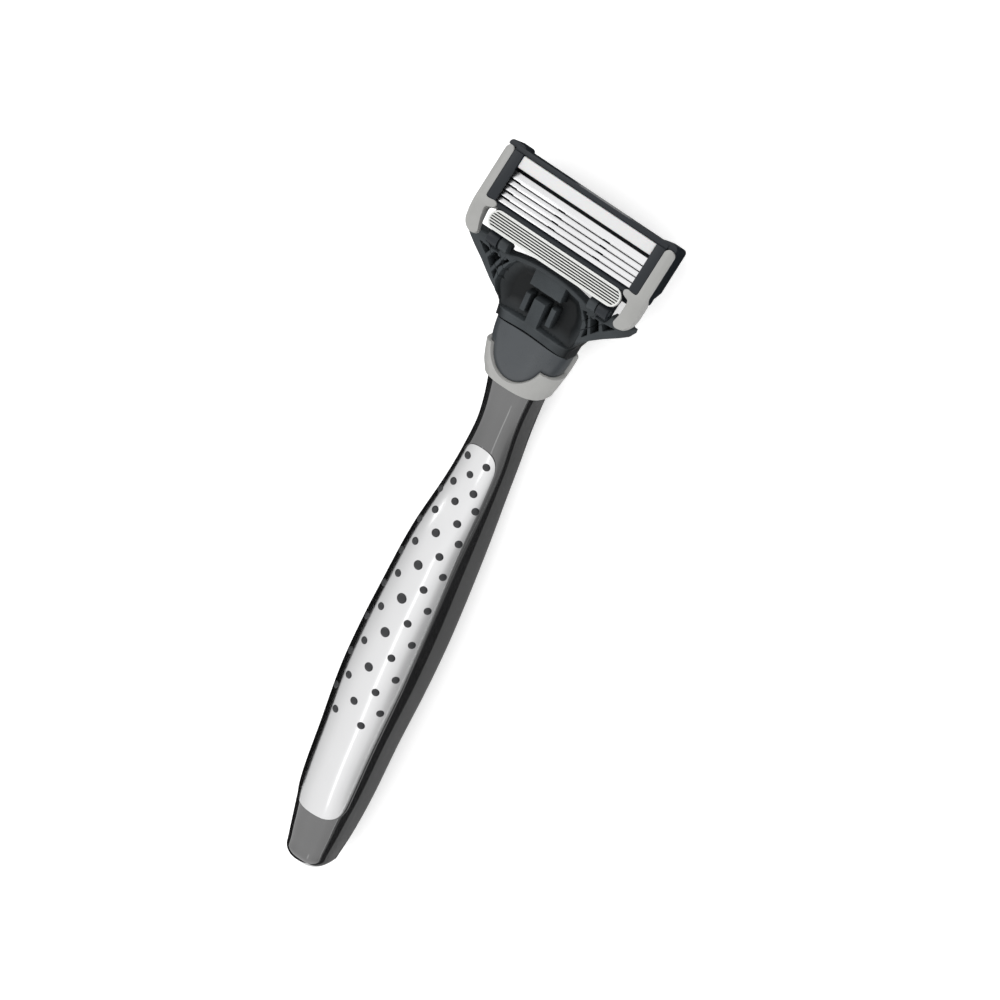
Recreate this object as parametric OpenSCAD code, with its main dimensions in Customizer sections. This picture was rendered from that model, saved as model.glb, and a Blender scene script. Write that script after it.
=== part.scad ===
// Cartridge razor lying on the back of its handle.
// X runs along the blades, Y from the butt to the head, Z up through the grip.
// The origin is the middle of the flat land on the handle's back.

/* [Handle] */
// Length of the handle from the butt to the collar
handle_len = 110.1; // [108:0.1:112]
// Half width of the handle at its belly
belly_w = 7.7; // [7.4:0.1:7.9]
// Half thickness of the handle at its belly
belly_t = 9.2; // [9:0.1:9.4]
// Wall of the handle shells
wall = 2.2; // [2:0.1:2.4]
// Distance from the butt to the middle of the rest land
rest_y = 55; // [50:1:60]

/* [Grip] */
// Where the metal grip plate starts, from the butt
plate_start = 13; // [12:0.5:14]
// Where the metal grip plate ends, from the butt
plate_end = 95; // [93:0.5:95.5]
// Thickness of the metal grip plate
plate_thick = 0.6; // [0.5:0.05:0.7]
// Thickness of the rubber pad under the plate
pad_thick = 0.7; // [0.6:0.05:0.8]
// How far the rubber nubs stand out of the plate
nub_rise = 0.45; // [0.3:0.05:0.6]

/* [Neck] */
// Thickness of the collar sleeve
collar_thick = 0.9; // [0.8:0.05:1]
// Thickness of the release button
button_thick = 1.4; // [1.2:0.05:1.5]
// Half width of the nose that the cartridge plugs onto
nose_w = 4.4; // [4.2:0.1:4.5]

/* [Head] */
// Distance from the butt to the cartridge's pivot
pivot_y = 135.7; // [135.4:0.1:136]
// Height of the pivot above the neck's base level
pivot_z = 11.3; // [11.2:0.1:11.4]
// Lean of the shaving face from level
face_tilt = 23; // [22:0.5:24]
// Half width of the cartridge over its soft sides
head_w = 20.3; // [20.1:0.1:20.5]
// Height of the shaving face above the pivot axis
face_n = 3.2; // [3.1:0.05:3.3]

/* [Blades] */
// Half length of the blades' supports
support_w = 15.9; // [15.2:0.1:16]
// Distance from one blade to the next
blade_pitch = 1.27; // [1.2:0.01:1.28]
// Half length of the blades
blade_w = 16.2; // [15.5:0.1:16.3]
// Thickness of a blade
blade_thick = 0.1; // [0.08:0.01:0.12]
// Number of ribs on the rubber guard
fin_count = 7; // [5:1:7]

/* [Hidden] */
$fn = 32;
cap = 3.5;
neck_w = 8.5;
power = 2.6;
// Height of the neck's own base level above the surface that the razor lies on
lift = 3.3;
seam_angle = -38;
side_points = 7;
top_points = 9;
plate_end_r = 4.5;
recess = plate_thick + pad_thick;
// Stations along the handle and neck: distance, half width, half thickness, back line
STATIONS = [
  [3.5, 4.65, 5.2, -0.6], [9, 5.45, 6.3, -1.5], [18, 6.43, 7.45, -1.75], [30, 6.95, 8.15, -2],
  [42, 7.6, 9, -2.8], [52, belly_w, belly_t, -3.5], [62, 7.45, 8.8, -3.65], [74, 6.85, 8, -3.65],
  [85, 5.8, 6.1, -3.6], [92, 5.3, 5.4, -3.5], [100, 4.9, 5.4, -3.2], [handle_len, 5.85, 5.3, -0.9],
  [112.5, 6.7, 5.3, -0.1], [117.5, 7.95, 5.2, 0.25], [121.5, neck_w, 5.1, 0.2]
];
// Middle column of nubs: distance from the butt and radius
NUBS = [[89.1, 0.8], [83.3, 0.85], [76.7, 0.95], [69.8, 1.05], [62.4, 1.15], [54.9, 1.1], [47.1, 1],
  [39.4, 0.9]];
nub_side_r = 0.85;
// Shares of the half width where the columns of side nubs stand
next_share = 0.42;
outer_share = 0.7;
fit = 0.12;
gap = 0.25;
collar_dip_y = 111.8;
collar_side_y = 116.5;
collar_back_y = 119.9;
dip_half_w = 4.8;
// Arch where the button meets the cartridge: its middle and how far its ends drop
mouth_y = 122.1;
arch_drop = 1.6;
nose_end_y = 128.6;
pin_r = 0.8;
guard_v = 5.25;
first_edge_v = 6.45;
strip_v = 13.75;
strip_len = 2.55;
strip_w = 16;
top_v = 17.4;
cap_v = 17.9;
end_w = 20.1;
trim_n = 2.25;
back_n = -2.2;
housing_w = 16.4;
rail_w = 18.2;

function lerp(a, b, t) = a + (b - a) * t;
function signed_pow(v, p) = sign(v) * pow(abs(v), p);
function span_of(y, i = 0) = i >= len(STATIONS) - 2 || y < STATIONS[i + 1][0] ? i : span_of(y, i + 1);
function slope_at(i, c) =
  let (a = max(0, i - 1), b = min(len(STATIONS) - 1, i + 1))
  (STATIONS[b][c] - STATIONS[a][c]) / (STATIONS[b][0] - STATIONS[a][0]);
// Smooth curve through one column of the stations
function along(y, c) =
  let (
    i = span_of(y),
    h = STATIONS[i + 1][0] - STATIONS[i][0],
    t = (y - STATIONS[i][0]) / h,
    a = STATIONS[i][c],
    b = STATIONS[i + 1][c]
  )
  a * (1 + t * t * (2 * t - 3)) + b * t * t * (3 - 2 * t)
    + h * slope_at(i, c) * t * (1 - t) * (1 - t) - h * slope_at(i + 1, c) * t * t * (1 - t);
function half_w(y) = along(max(y, cap), 1);
function half_t(y) = along(max(y, cap), 2);
function mid_z(y) = half_t(y) + along(max(y, cap), 3);
function cap_scale(y) = y >= cap ? 1 : max(0.02, sqrt(1 - pow((cap - y) / cap, 2)));
// Point of the rounded-square section at an angle, set in from the surface
function skin(y, a, inset = 0) =
  let (s = cap_scale(y), w = (half_w(y) - inset) * s, t = (half_t(y) - inset) * s)
  [w * signed_pow(cos(a), 2 / power),
    y < cap ? inset + y * (cap - inset) / cap : y,
    max(inset - lift, mid_z(y) + t * signed_pow(sin(a), 2 / power))];

// Half angle that the plate covers at a distance from the butt
function plate_angle(y) =
  let (
    full = lerp(58, 42, min(1, max(0, (y - 45) / 49))),
    d = max(0, min(y - plate_start, plate_end - y)),
    e = d >= plate_end_r ? 1 : pow(1 - pow((plate_end_r - d) / plate_end_r, 2.2), 1 / 2.2)
  )
  full * max(0.03, e);
function on_plate(y) = y >= plate_start && y <= plate_end;
END_STEPS = [for (k = [0:5]) plate_end_r * (1 - cos(k * 18))];
PLATE_YS = concat(
  [for (d = END_STEPS) plate_start + d],
  [for (k = [1:11]) lerp(plate_start + plate_end_r, plate_end - plate_end_r, k / 12)],
  [for (k = [5:-1:0]) plate_end - END_STEPS[k]]
);
HANDLE_YS = concat([for (k = [0:5]) cap * (1 - cos(k * 18))], [7, plate_start - 0.05], PLATE_YS,
  [plate_end + 0.05, 98, 103, handle_len]);
function spread(a, b, n) = [for (k = [0:n - 1]) lerp(a, b, k / (n - 1))];
function shell_ring(y) =
  let (f = plate_angle(y), depth = on_plate(y) ? recess : 0.01)
  concat(
    [for (a = spread(seam_angle, 90 - f, side_points)) skin(y, a)],
    [for (a = spread(90 - f, 90 + f, top_points)) skin(y, a, depth)],
    [for (a = spread(90 + f, 180 - seam_angle, side_points)) skin(y, a)]
  );
function even_ring(y, a, b, n, inset) = [for (k = spread(a, b, n)) skin(y, k, inset)];

// Solid between two grids of points, with rows along the part and columns round it
module skin_solid(outer, inner, closed = false) {
  rows = len(outer);
  cols = len(outer[0]);
  last = closed ? cols : cols - 1;
  n = rows * cols;
  points = concat([for (r = outer) each r], [for (r = inner) each r]);
  function o(i, j) = i * cols + j % cols;
  function q(a, b, c, d) = [[a, b, c], [a, c, d]];
  faces = concat(
    [for (i = [0:rows - 2], j = [0:last - 1]) each q(o(i, j), o(i, j + 1), o(i + 1, j + 1), o(i + 1, j))],
    [for (i = [0:rows - 2], j = [0:last - 1])
      each q(n + o(i, j), n + o(i + 1, j), n + o(i + 1, j + 1), n + o(i, j + 1))],
    [for (j = [0:last - 1]) each q(o(0, j + 1), o(0, j), n + o(0, j), n + o(0, j + 1))],
    [for (j = [0:last - 1])
      each q(o(rows - 1, j), o(rows - 1, j + 1), n + o(rows - 1, j + 1), n + o(rows - 1, j))],
    closed ? [] : [for (i = [0:rows - 2]) each q(o(i, 0), o(i + 1, 0), n + o(i + 1, 0), n + o(i, 0))],
    closed ? [] : [for (i = [0:rows - 2])
      each q(o(i + 1, cols - 1), o(i, cols - 1), n + o(i, cols - 1), n + o(i + 1, cols - 1))]
  );
  polyhedron(points, faces, convexity = 6);
}

// Frame of the whole razor, with the rest land at the origin
module razor() translate([0, -rest_y, lift]) children();
// Frame of the cartridge: X along the blades, Y up the face, Z out of the face, pivot at the origin
module head() razor() translate([0, pivot_y, pivot_z]) rotate([-face_tilt, 0, 0]) children();
// Extrudes a section in the cartridge's Y and Z along the blades
module bar(x0, x1) translate([x0, 0, 0]) rotate([90, 0, 90]) linear_extrude(x1 - x0) children();
module block(x, y, z) translate([x[0], y[0], z[0]]) cube([x[1] - x[0], y[1] - y[0], z[1] - z[0]]);
module rounded(r) offset(r) offset(-r) children();

module handle_shell() color([0.2, 0.2, 0.21]) razor() difference() {
  skin_solid(
    [for (y = HANDLE_YS) shell_ring(y)],
    [for (y = HANDLE_YS) even_ring(y, seam_angle, 180 - seam_angle, 2 * side_points + top_points, wall)]
  );
  // Groove for the snout's tail
  block([-1.6, 1.6], [95.9, handle_len + 1], [2.7, 5.9]);
}

module rear_cover() color([0.12, 0.12, 0.13]) razor()
  skin_solid(
    [for (y = HANDLE_YS) even_ring(y, -180 - seam_angle + 0.6, seam_angle - 0.6, 11, 0)],
    [for (y = HANDLE_YS) even_ring(y, -180 - seam_angle + 0.6, seam_angle - 0.6, 11, wall - 0.1)]
  );

module weight_bar() color([0.55, 0.55, 0.57]) razor()
  translate([0, 0, 4]) rotate([-90, 0, 0]) rotate_extrude()
    polygon([[0, 12], [1.5, 12.3], [1.5, 22], [3.1, 28], [3.1, 66], [1.5, 74], [1.5, 83.7], [0, 84]]);

// Angle on the section where the surface reaches a share of its half width
function angle_at(share) = acos(pow(share, power / 2));
function normal_angle(y, a) =
  let (x = abs(signed_pow(cos(a), 2 / power)), z = abs(signed_pow(sin(a), 2 / power)))
  atan2(pow(x, power - 1) / half_w(y), pow(z, power - 1) / half_t(y));
// Runs its child at a nub's root, with Z along the surface's normal
module at_nub(y, share, side) {
  a = share == 0 ? 90 : angle_at(share);
  p = skin(y, a);
  translate([side * p[0], p[1], p[2]]) rotate([0, side * normal_angle(y, a), 0]) children();
}
// Distance from the butt of a nub in the column next to the middle
function next_nub_y(k) =
  k == 0 ? NUBS[0][0] + 2.9
    : k == len(NUBS) ? NUBS[k - 1][0] - 3.9
    : (NUBS[k - 1][0] + NUBS[k][0]) / 2;
module nub_pattern(grow, from, to) {
  module peg(r) translate([0, 0, from]) cylinder(r = r + grow, h = to - from, $fn = 16);
  for (n = NUBS) at_nub(n[0], 0, 1) peg(n[1]);
  for (side = [-1, 1]) {
    for (k = [0:len(NUBS)]) at_nub(next_nub_y(k), next_share, side) peg(nub_side_r);
    for (k = [1:len(NUBS) - 1]) at_nub(NUBS[k][0], outer_share, side) peg(nub_side_r);
  }
}
module plate_skin(from, to, edge) {
  function rows(inset) = [for (y = PLATE_YS) let (f = max(1, plate_angle(y) - edge))
    even_ring(y, 90 - f, 90 + f, top_points, inset)];
  skin_solid(rows(from), rows(to));
}

module grip_pad() color([0.13, 0.13, 0.14]) razor() {
  plate_skin(plate_thick + 0.02, recess - 0.02, 2);
  nub_pattern(0, -plate_thick - 0.3, nub_rise);
}

module grip_plate() color([0.86, 0.86, 0.87]) razor() difference() {
  plate_skin(0, plate_thick, 1.2);
  nub_pattern(fit, -1.2, 1);
}

module docking_snout() color([0.1, 0.1, 0.11]) razor() difference() {
  union() {
    block([-1.5, 1.5], [96, 109], [2.9, 5.8]);
    translate([0, 0, 2.3]) linear_extrude(4.3)
      polygon([[-3, 108.6], [3, 108.6], [5.5, 118.6], [5.5, 120.8], [-5.5, 120.8], [-5.5, 118.6]]);
    block([-nose_w, nose_w], [120.6, nose_end_y], [3.4, 7.2]);
    for (side = [-1, 1]) translate([side * (nose_w - 0.3), 126, 3.9]) cylinder(r = 0.45, h = 2.8);
  }
  // Channel of the ejector, open at the top and at the nose
  block([-2.3, 2.3], [110.2, 130], [4.9, 8]);
  // Slot of the ejector's tail
  block([-1.2, 1.2], [108.5, 118], [3.2, 5.2]);
  // Pocket of the spring
  translate([0, 101, 4.35]) rotate([-90, 0, 0]) cylinder(r = 1.05, h = 10);
  // Slots that free the two snap arms
  for (side = [-1, 1]) translate([side * 3.15 - 0.3, 121.8, 3]) cube([0.6, 8, 5]);
}

// Height of the collar's edge round the neck: a rounded dip in front, straight behind
function collar_edge(a) =
  let (x = abs(6.9 * signed_pow(cos(a), 2 / power)))
  sin(a) < -0.35 ? collar_back_y
    : sin(a) < 0 ? collar_side_y - 0.6
    : x >= dip_half_w ? collar_side_y - 0.3 * (x - dip_half_w)
    : collar_dip_y + (collar_side_y - collar_dip_y) * (1 - sqrt(1 - pow(x / dip_half_w, 2)));
COLLAR_ANGLES = [for (k = [0:59]) k * 6];
function collar_rows(inset) = [for (i = [0:6]) [for (a = COLLAR_ANGLES)
  skin(lerp(handle_len + 0.05, collar_edge(a), i / 6), a, inset)]];
module neck_collar() color([0.66, 0.66, 0.64]) razor()
  skin_solid(collar_rows(0), collar_rows(collar_thick), closed = true);

// Crown of the button over the line of the neck
function crown(a, t) = 0.55 * pow(max(0, sin((a - 12) * 180 / 156)), 2) * sin(180 * min(1, t * 0.75 + 0.12));
// Edge of the button that meets the cartridge, an arch
function arch_y(x) = mouth_y - gap - arch_drop * pow(x / neck_w, 2);
BUTTON_ANGLES = [for (k = [0:36]) k * 6 - 18];
module release_button() color([0.33, 0.34, 0.36]) razor() {
  skin_solid(
    [for (i = [0:8]) [for (a = BUTTON_ANGLES) button_point(a, i / 8, 0)]],
    [for (i = [0:8]) [for (a = BUTTON_ANGLES) button_point(a, i / 8, button_thick)]]
  );
  // Post that carries the ejector
  block([-1.6, 1.6], [115.6, 117.6], [6.7, 9.5]);
}
function button_point(a, t, inset) =
  let (
    low = collar_edge(a) + gap * 0.6,
    high = arch_y(8 * signed_pow(cos(a), 2 / power)) - gap,
    y = lerp(low, high, t)
  )
  skin(y, a, inset - (inset == 0 ? crown(a, t) : 0));

module ejector() color([0.75, 0.76, 0.78]) razor() {
  block([-2.1, 2.1], [112.4, 128.4], [5.05, 6.65]);
  block([-1, 1], [112.4, 114.4], [3.4, 5.2]);
}

// Compression spring behind the ejector's tail, a wire wound by rule
spring_turns = 7;
spring_y0 = 101.3;
spring_y1 = 112.3;
spring_r = 0.72;
wire_r = 0.15;
spring_steps = spring_turns * 10;
function spring_centre(i) =
  [spring_r * cos(i * 36), lerp(spring_y0 + wire_r, spring_y1 - wire_r, i / spring_steps),
    4.35 + spring_r * sin(i * 36)];
module ejector_spring() color([0.7, 0.7, 0.72]) razor() {
  points = [for (i = [0:spring_steps], b = [0:60:300])
    spring_centre(i) + wire_r * [cos(b) * cos(i * 36), sin(b), cos(b) * sin(i * 36)]];
  faces = concat(
    [for (i = [0:spring_steps - 1], j = [0:5]) let (k = (j + 1) % 6)
      each [[i * 6 + j, i * 6 + k, i * 6 + 6 + k], [i * 6 + j, i * 6 + 6 + k, i * 6 + 6 + j]]],
    [for (j = [1:4]) [0, j + 1, j]],
    [for (j = [1:4]) [spring_steps * 6, spring_steps * 6 + j, spring_steps * 6 + j + 1]]
  );
  polyhedron(points, faces, convexity = 8);
}

// Half outline of the yoke in plan, from its mouth to the ends of its arms
YOKE_SIDE = [[neck_w, mouth_y - arch_drop], [8.7, 122.8], [9.5, 124.6], [10.6, 126.2], [12.4, 128.1],
  [14.8, 130],  [17.4, 131.8], [19.2, 133.2], [20.1, 134.6], [20.1, 135.6]];
// Top edge of the yoke between its knuckles
function brow_y(x) = 136 - 1.5 * pow(x / 9.5, 2);
BROW_XS = [9.5:-1.9:-9.5];
module both() {
  children();
  mirror([1, 0, 0]) children();
}
module yoke_plan() {
  polygon(concat(
    YOKE_SIDE,
    [[9.6, 135.6]],
    [for (x = BROW_XS) [x, brow_y(x)]],
    [[-9.6, 135.6]],
    [for (k = [len(YOKE_SIDE) - 1:-1:0]) [-YOKE_SIDE[k][0], YOKE_SIDE[k][1]]],
    [for (x = [-6.8:1.7:6.8]) [x, arch_y(x) + gap]]
  ));
}
module yoke_profile() polygon([[120, 0.3], [122.5, 0.35], [126, 1.1], [129.6, 2.3], [132.4, 5.6],
  [134.4, 8.5], [136.4, 9.1], [136.4, 10.5], [135.9, 11.1], [130, 10.7], [120, 10.3]]);
// Half outline of the bowl between the arms, open at the front
BOWL = [[0, 135], [3.9, 134.8], [7.4, 134], [8.6, 132.6], [9.6, 130.6], [10, 128], [9.4, 125.3],
  [8.4, 123.2], [5, 123.9], [0, 124.3]];
bowl_floor = 7.9;
POCKETS = [
  [[8.9, 133.1], [10, 133.3], [11.5, 128.9], [10.6, 127.9], [10.6, 130.7]],
  [[10.8, 133], [12.6, 133], [13.4, 131], [12.1, 129.6]],
  [[13.4, 133], [16.4, 133.3], [14.2, 131.5]]
];
module yoke() color([0.3, 0.32, 0.33]) razor() {
  difference() {
    intersection() {
      linear_extrude(14) yoke_plan();
      bar(-21, 21) yoke_profile();
    }
    translate([0, 0, bowl_floor]) linear_extrude(6)
      polygon(concat(BOWL, [for (k = [len(BOWL) - 1:-1:0]) [-BOWL[k][0], BOWL[k][1]]]));
    for (p = POCKETS) translate([0, 0, 8.3]) linear_extrude(6) both() polygon(p);
    // Socket that takes the nose, with a pocket for each snap bump
    block([-nose_w - 0.2, nose_w + 0.2], [120, nose_end_y + 0.4], [3.2, 7.4]);
    for (side = [-1, 1]) translate([side * (nose_w + 0.2), 126, 3.7]) cylinder(r = 0.6, h = 3.2);
    // Slots for the cartridge's two lugs
    both() block([11.85, 14.55], [133.4, 138], [0, 14]);
    both() block([9.6, 11.9], [134.6, 138], [0, 14]);
    // Room for the cartridge's back as it swings
    both() block([14.5, 21], [134.6, 138], [0, 8.8]);
  }
  // Brow bumper, middle tongue and posts in the bowl
  block([-3.7, 3.7], [131, 135.1], [bowl_floor - 0.3, 10]);
  block([-1.4, 1.4], [124.2, 129.4], [bowl_floor - 0.1, 10.3]);
  both() block([2.4, 3.7], [125.3, 129.4], [bowl_floor - 0.1, 10]);
  // Knuckles with the stub pins that the cartridge turns on
  both() {
    translate([9.7, pivot_y, pivot_z]) rotate([0, 90, 0]) cylinder(r = 1.4, h = 2);
    block([9.7, 11.7], [132.6, pivot_y], [9, 10.7]);
    translate([11.6, pivot_y, pivot_z]) rotate([0, 90, 0]) cylinder(r = pin_r, h = 2.7);
  }
}

// Plan of the housing's end, with a rounded upper corner
module housing_end(inner) rounded(0.8)
  polygon([[inner, 5.2], [end_w, 5.2], [end_w, cap_v - 0.5], [end_w - 0.5, cap_v], [inner, cap_v]]);
// Housing of the cartridge: back frame, side walls, top bar, guard bar and lugs
module cartridge_housing() color([0.24, 0.25, 0.27]) head() {
  difference() {
    union() {
      both() translate([0, 0, back_n]) linear_extrude(-0.15 - back_n) housing_end(housing_w);
      block([-rail_w, rail_w], [5, top_v - 0.05], [back_n, -0.15]);
      block([-housing_w - 0.1, housing_w + 0.1], [3.3, 5.1], [back_n, -0.8]);
    }
    for (x = [-10.8, 0, 10.8]) block([x - 4.8, x + 4.8], [6.4, 12.3], [back_n - 1, 1]);
    block([-housing_w, housing_w], [5.3, 15.6], [-1, 1]);
    // Slant under the lower end of each side
    both() bar(rail_w + 0.1, end_w + 1) polygon([[4, -3], [8.8, -3], [8.5, -2.1], [7, -0.5], [4, -0.5]]);
  }
  both() {
    translate([0, 0, -0.3]) linear_extrude(trim_n + 0.25) housing_end(rail_w - 0.1);
    translate([0, 0, -0.3]) linear_extrude(face_n + 0.15) intersection() {
      housing_end(housing_w);
      translate([housing_w, 16.75]) square(5);
    }
  }
  both() block([housing_w, rail_w], [guard_v, 17.2], [-0.3, face_n - 0.1]);
  block([-rail_w, rail_w], [16.45, top_v], [-0.3, face_n + 0.1]);
  bar(-housing_w - 0.1, housing_w + 0.1) polygon([[guard_v, 0.9], [6.25, 0.9], [6.25, 2.7], [5.8, 3.05],
    [guard_v, 2.85]]);
  both() difference() {
    union() {
      translate([12, 0, 0]) rotate([0, 90, 0]) cylinder(r = 1.5, h = 2.4);
      block([12, 14.4], [0.3, 3.6], [-1.4, 0.75]);
    }
    translate([11.5, 0, 0]) rotate([0, 90, 0]) cylinder(r = pin_r + 0.05, h = 3.5);
  }
}

module guard_shelf() color([0.22, 0.23, 0.25]) head() difference() {
  union() {
    block([-15.2, 15.2], [1.75, guard_v - 0.03], [0.9, 1.6]);
    block([-15.2, 15.2], [3.7, 4.95], [-0.75, 1]);
  }
  both() block([11.8, 14.6], [0, 3.75], [-2, 1.15]);
}

module stadium(w, v0, v1) hull() both() translate([w - (v1 - v0) / 2, (v0 + v1) / 2]) circle((v1 - v0) / 2);
module fin_guard() color([0.72, 0.73, 0.71]) head() {
  difference() {
    translate([0, 0, 1.65]) linear_extrude(1.3) stadium(15.7, 1.25, 5.2);
    translate([0, 0, 2.3]) linear_extrude(2) stadium(15.35, 1.6, 4.9);
  }
  for (k = [0:fin_count - 1]) let (v = 1.72 + k * 3.06 / (fin_count - 1), in = abs(v - 3.25) > 1.2 ? 1 : 0.35)
    bar(-15.3 + in, 15.3 - in) polygon([[v - 0.16, 2.2], [v + 0.16, 2.2], [v + 0.1, 3.05], [v - 0.1, 3.05]]);
}

module strip_holder() color([0.2, 0.2, 0.22]) head() bar(-16.25, 16.25)
  polygon([[strip_v, -0.95], [15.5, -0.95], [15.5, -0.1], [16.2, -0.1], [16.2, 1.55], [strip_v, 1.55]]);

module lube_strip() color([0.95, 0.95, 0.95]) head() bar(-strip_w, strip_w) polygon([
  [strip_v, 1.6], [strip_v + strip_len, 1.6], [strip_v + strip_len, face_n - 0.15],
  [strip_v + strip_len - 0.2, face_n + 0.05], [strip_v + 0.25, face_n + 0.05], [strip_v, face_n - 0.2]
]);

// Blade whose edge is at the origin, and the bent support under it
blade_lean = 21;
function blade_len(k) = k == 4 ? 1.6 : 1.02;
support_thick = 0.2;
support_depth = 3.3;
function leaned(x, y) =
  [x * cos(blade_lean) + y * sin(blade_lean), y * cos(blade_lean) - x * sin(blade_lean)];
module at_blade(k) head() translate([0, first_edge_v + k * blade_pitch, face_n - 0.15]) children();
module blade(k) color([0.93, 0.93, 0.94]) at_blade(k) bar(-blade_w, blade_w)
  polygon([leaned(0, 0), leaned(0.25, -blade_thick), leaned(blade_len(k), -blade_thick),
    leaned(blade_len(k), 0)]);
module blade_support(k) color([0.6, 0.61, 0.63]) at_blade(k) {
  top = -blade_thick - 0.02;
  heel = leaned(blade_len(k), top);
  bar(-support_w, support_w) polygon([
    leaned(0.3, top), heel, [heel[0], -support_depth], [heel[0] - support_thick, -support_depth],
    leaned(blade_len(k) - support_thick, top - support_thick), leaned(0.3, top - support_thick)
  ]);
}
module blade_1() blade(0);
module blade_2() blade(1);
module blade_3() blade(2);
module blade_4() blade(3);
module blade_5() blade(4);
module blade_support_1() blade_support(0);
module blade_support_2() blade_support(1);
module blade_support_3() blade_support(2);
module blade_support_4() blade_support(3);
module blade_support_5() blade_support(4);

module retainer() {
  block([strip_w + 0.06, rail_w], [6.1, 16.4], [face_n - 0.08, face_n + 0.4]);
}
module retainer_right() color([0.26, 0.27, 0.29]) head() retainer();
module retainer_left() color([0.26, 0.27, 0.29]) head() mirror([1, 0, 0]) retainer();

module side_trim() translate([0, 0, trim_n]) linear_extrude(face_n + 0.3 - trim_n) rounded(0.8)
  polygon([[rail_w + 0.05, 5.2], [head_w, 5.2], [head_w, 15.9], [head_w - 0.6, 16.7], [rail_w + 0.05, 16.7]]);
module side_trim_right() color([0.7, 0.7, 0.68]) head() side_trim();
module side_trim_left() color([0.7, 0.7, 0.68]) head() mirror([1, 0, 0]) side_trim();

// Soft elbow from the side trim to the yoke's arm, with a knob under the rail's end
module flex_link() translate([0, 0, 0.45]) linear_extrude(2.6) rounded(0.35)
  polygon([[head_w, 5.15], [head_w, 3], [20, 1.5], [19.4, 0.4], [18.6, -0.6], [17.6, -1.3], [16.6, -1],
    [16.7, 0.6], [17, 1.6], [17.2, 2.8], [17.3, 3.8], [16.9, 4.3], [16.1, 4.45], [15.95, 5.15]]);
module flex_link_right() color([0.7, 0.7, 0.68]) head() flex_link();
module flex_link_left() color([0.7, 0.7, 0.68]) head() mirror([1, 0, 0]) flex_link();

handle_shell();
rear_cover();
weight_bar();
grip_pad();
grip_plate();
docking_snout();
neck_collar();
release_button();
ejector();
ejector_spring();
yoke();
cartridge_housing();
guard_shelf();
fin_guard();
strip_holder();
lube_strip();
blade_1();
blade_2();
blade_3();
blade_4();
blade_5();
blade_support_1();
blade_support_2();
blade_support_3();
blade_support_4();
blade_support_5();
retainer_left();
retainer_right();
side_trim_left();
side_trim_right();
flex_link_left();
flex_link_right();
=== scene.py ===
"""Looks of a cartridge razor that lies on the back of its handle.

The handle, neck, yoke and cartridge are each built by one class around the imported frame. Sizes inside the
classes are in millimetres, from the butt of the handle and from the neck's base level, which stands LIFT
above the table. Meshes are in metres in the row's frame.
"""

import logging
import math
from dataclasses import dataclass, field
from enum import Enum
from typing import Callable, Sequence

import bpy
import numpy as np
from mathutils import Matrix, Vector


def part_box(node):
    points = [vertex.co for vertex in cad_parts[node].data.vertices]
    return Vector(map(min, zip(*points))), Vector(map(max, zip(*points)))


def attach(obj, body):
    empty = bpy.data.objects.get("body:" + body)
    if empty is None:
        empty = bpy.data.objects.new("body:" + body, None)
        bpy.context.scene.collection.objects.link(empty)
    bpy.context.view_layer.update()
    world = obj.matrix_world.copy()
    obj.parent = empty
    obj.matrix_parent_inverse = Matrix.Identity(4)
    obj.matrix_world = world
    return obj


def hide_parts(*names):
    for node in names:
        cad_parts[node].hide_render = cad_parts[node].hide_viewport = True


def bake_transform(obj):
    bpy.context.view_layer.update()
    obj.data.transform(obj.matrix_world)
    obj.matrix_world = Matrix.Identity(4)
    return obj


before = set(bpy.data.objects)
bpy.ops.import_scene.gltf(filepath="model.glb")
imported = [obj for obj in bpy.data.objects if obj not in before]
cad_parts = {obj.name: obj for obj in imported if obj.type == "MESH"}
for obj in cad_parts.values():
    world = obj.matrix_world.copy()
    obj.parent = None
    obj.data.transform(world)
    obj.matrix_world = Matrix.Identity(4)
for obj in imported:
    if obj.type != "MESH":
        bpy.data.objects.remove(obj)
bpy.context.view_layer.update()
MM = 0.001
LIFT = 3.3
LOG = logging.getLogger("razor")
Outline = list[tuple[float, float]]


# ---------------------------------------------------------------- shader maths


class Wire:
    """A value in a material's node tree that takes part in sums."""

    def __init__(self, tree: bpy.types.NodeTree, socket: bpy.types.NodeSocket) -> None:
        """Keeps the tree and the output socket.

        Args:
            tree: The node tree that the value lives in.
            socket: The output that carries the value.
        """
        self.tree = tree
        self.socket = socket

    def math(self, operation: str, other: "Wire | float | None" = None, flip: bool = False) -> "Wire":
        """Adds one Math node.

        Args:
            operation: The Math node's operation.
            other: The second value, if the operation takes one.
            flip: True if the other value comes first.

        Returns:
            The result as a new wire.
        """
        node = self.tree.nodes.new("ShaderNodeMath")
        node.operation = operation
        here, there = (1, 0) if flip else (0, 1)
        self.tree.links.new(self.socket, node.inputs[here])
        if isinstance(other, Wire):
            self.tree.links.new(other.socket, node.inputs[there])
        elif other is not None:
            node.inputs[there].default_value = other
        return Wire(self.tree, node.outputs[0])

    def __add__(self, other: "Wire | float") -> "Wire":
        """Sum."""
        return self.math("ADD", other)

    def __radd__(self, other: float) -> "Wire":
        """Sum with the number first."""
        return self.math("ADD", other)

    def __sub__(self, other: "Wire | float") -> "Wire":
        """Difference."""
        return self.math("SUBTRACT", other)

    def __rsub__(self, other: float) -> "Wire":
        """Difference from a number."""
        return self.math("SUBTRACT", other, flip=True)

    def __mul__(self, other: "Wire | float") -> "Wire":
        """Product."""
        return self.math("MULTIPLY", other)

    def __rmul__(self, other: float) -> "Wire":
        """Product with the number first."""
        return self.math("MULTIPLY", other)

    def __pow__(self, other: float) -> "Wire":
        """Power."""
        return self.math("POWER", other)


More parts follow.
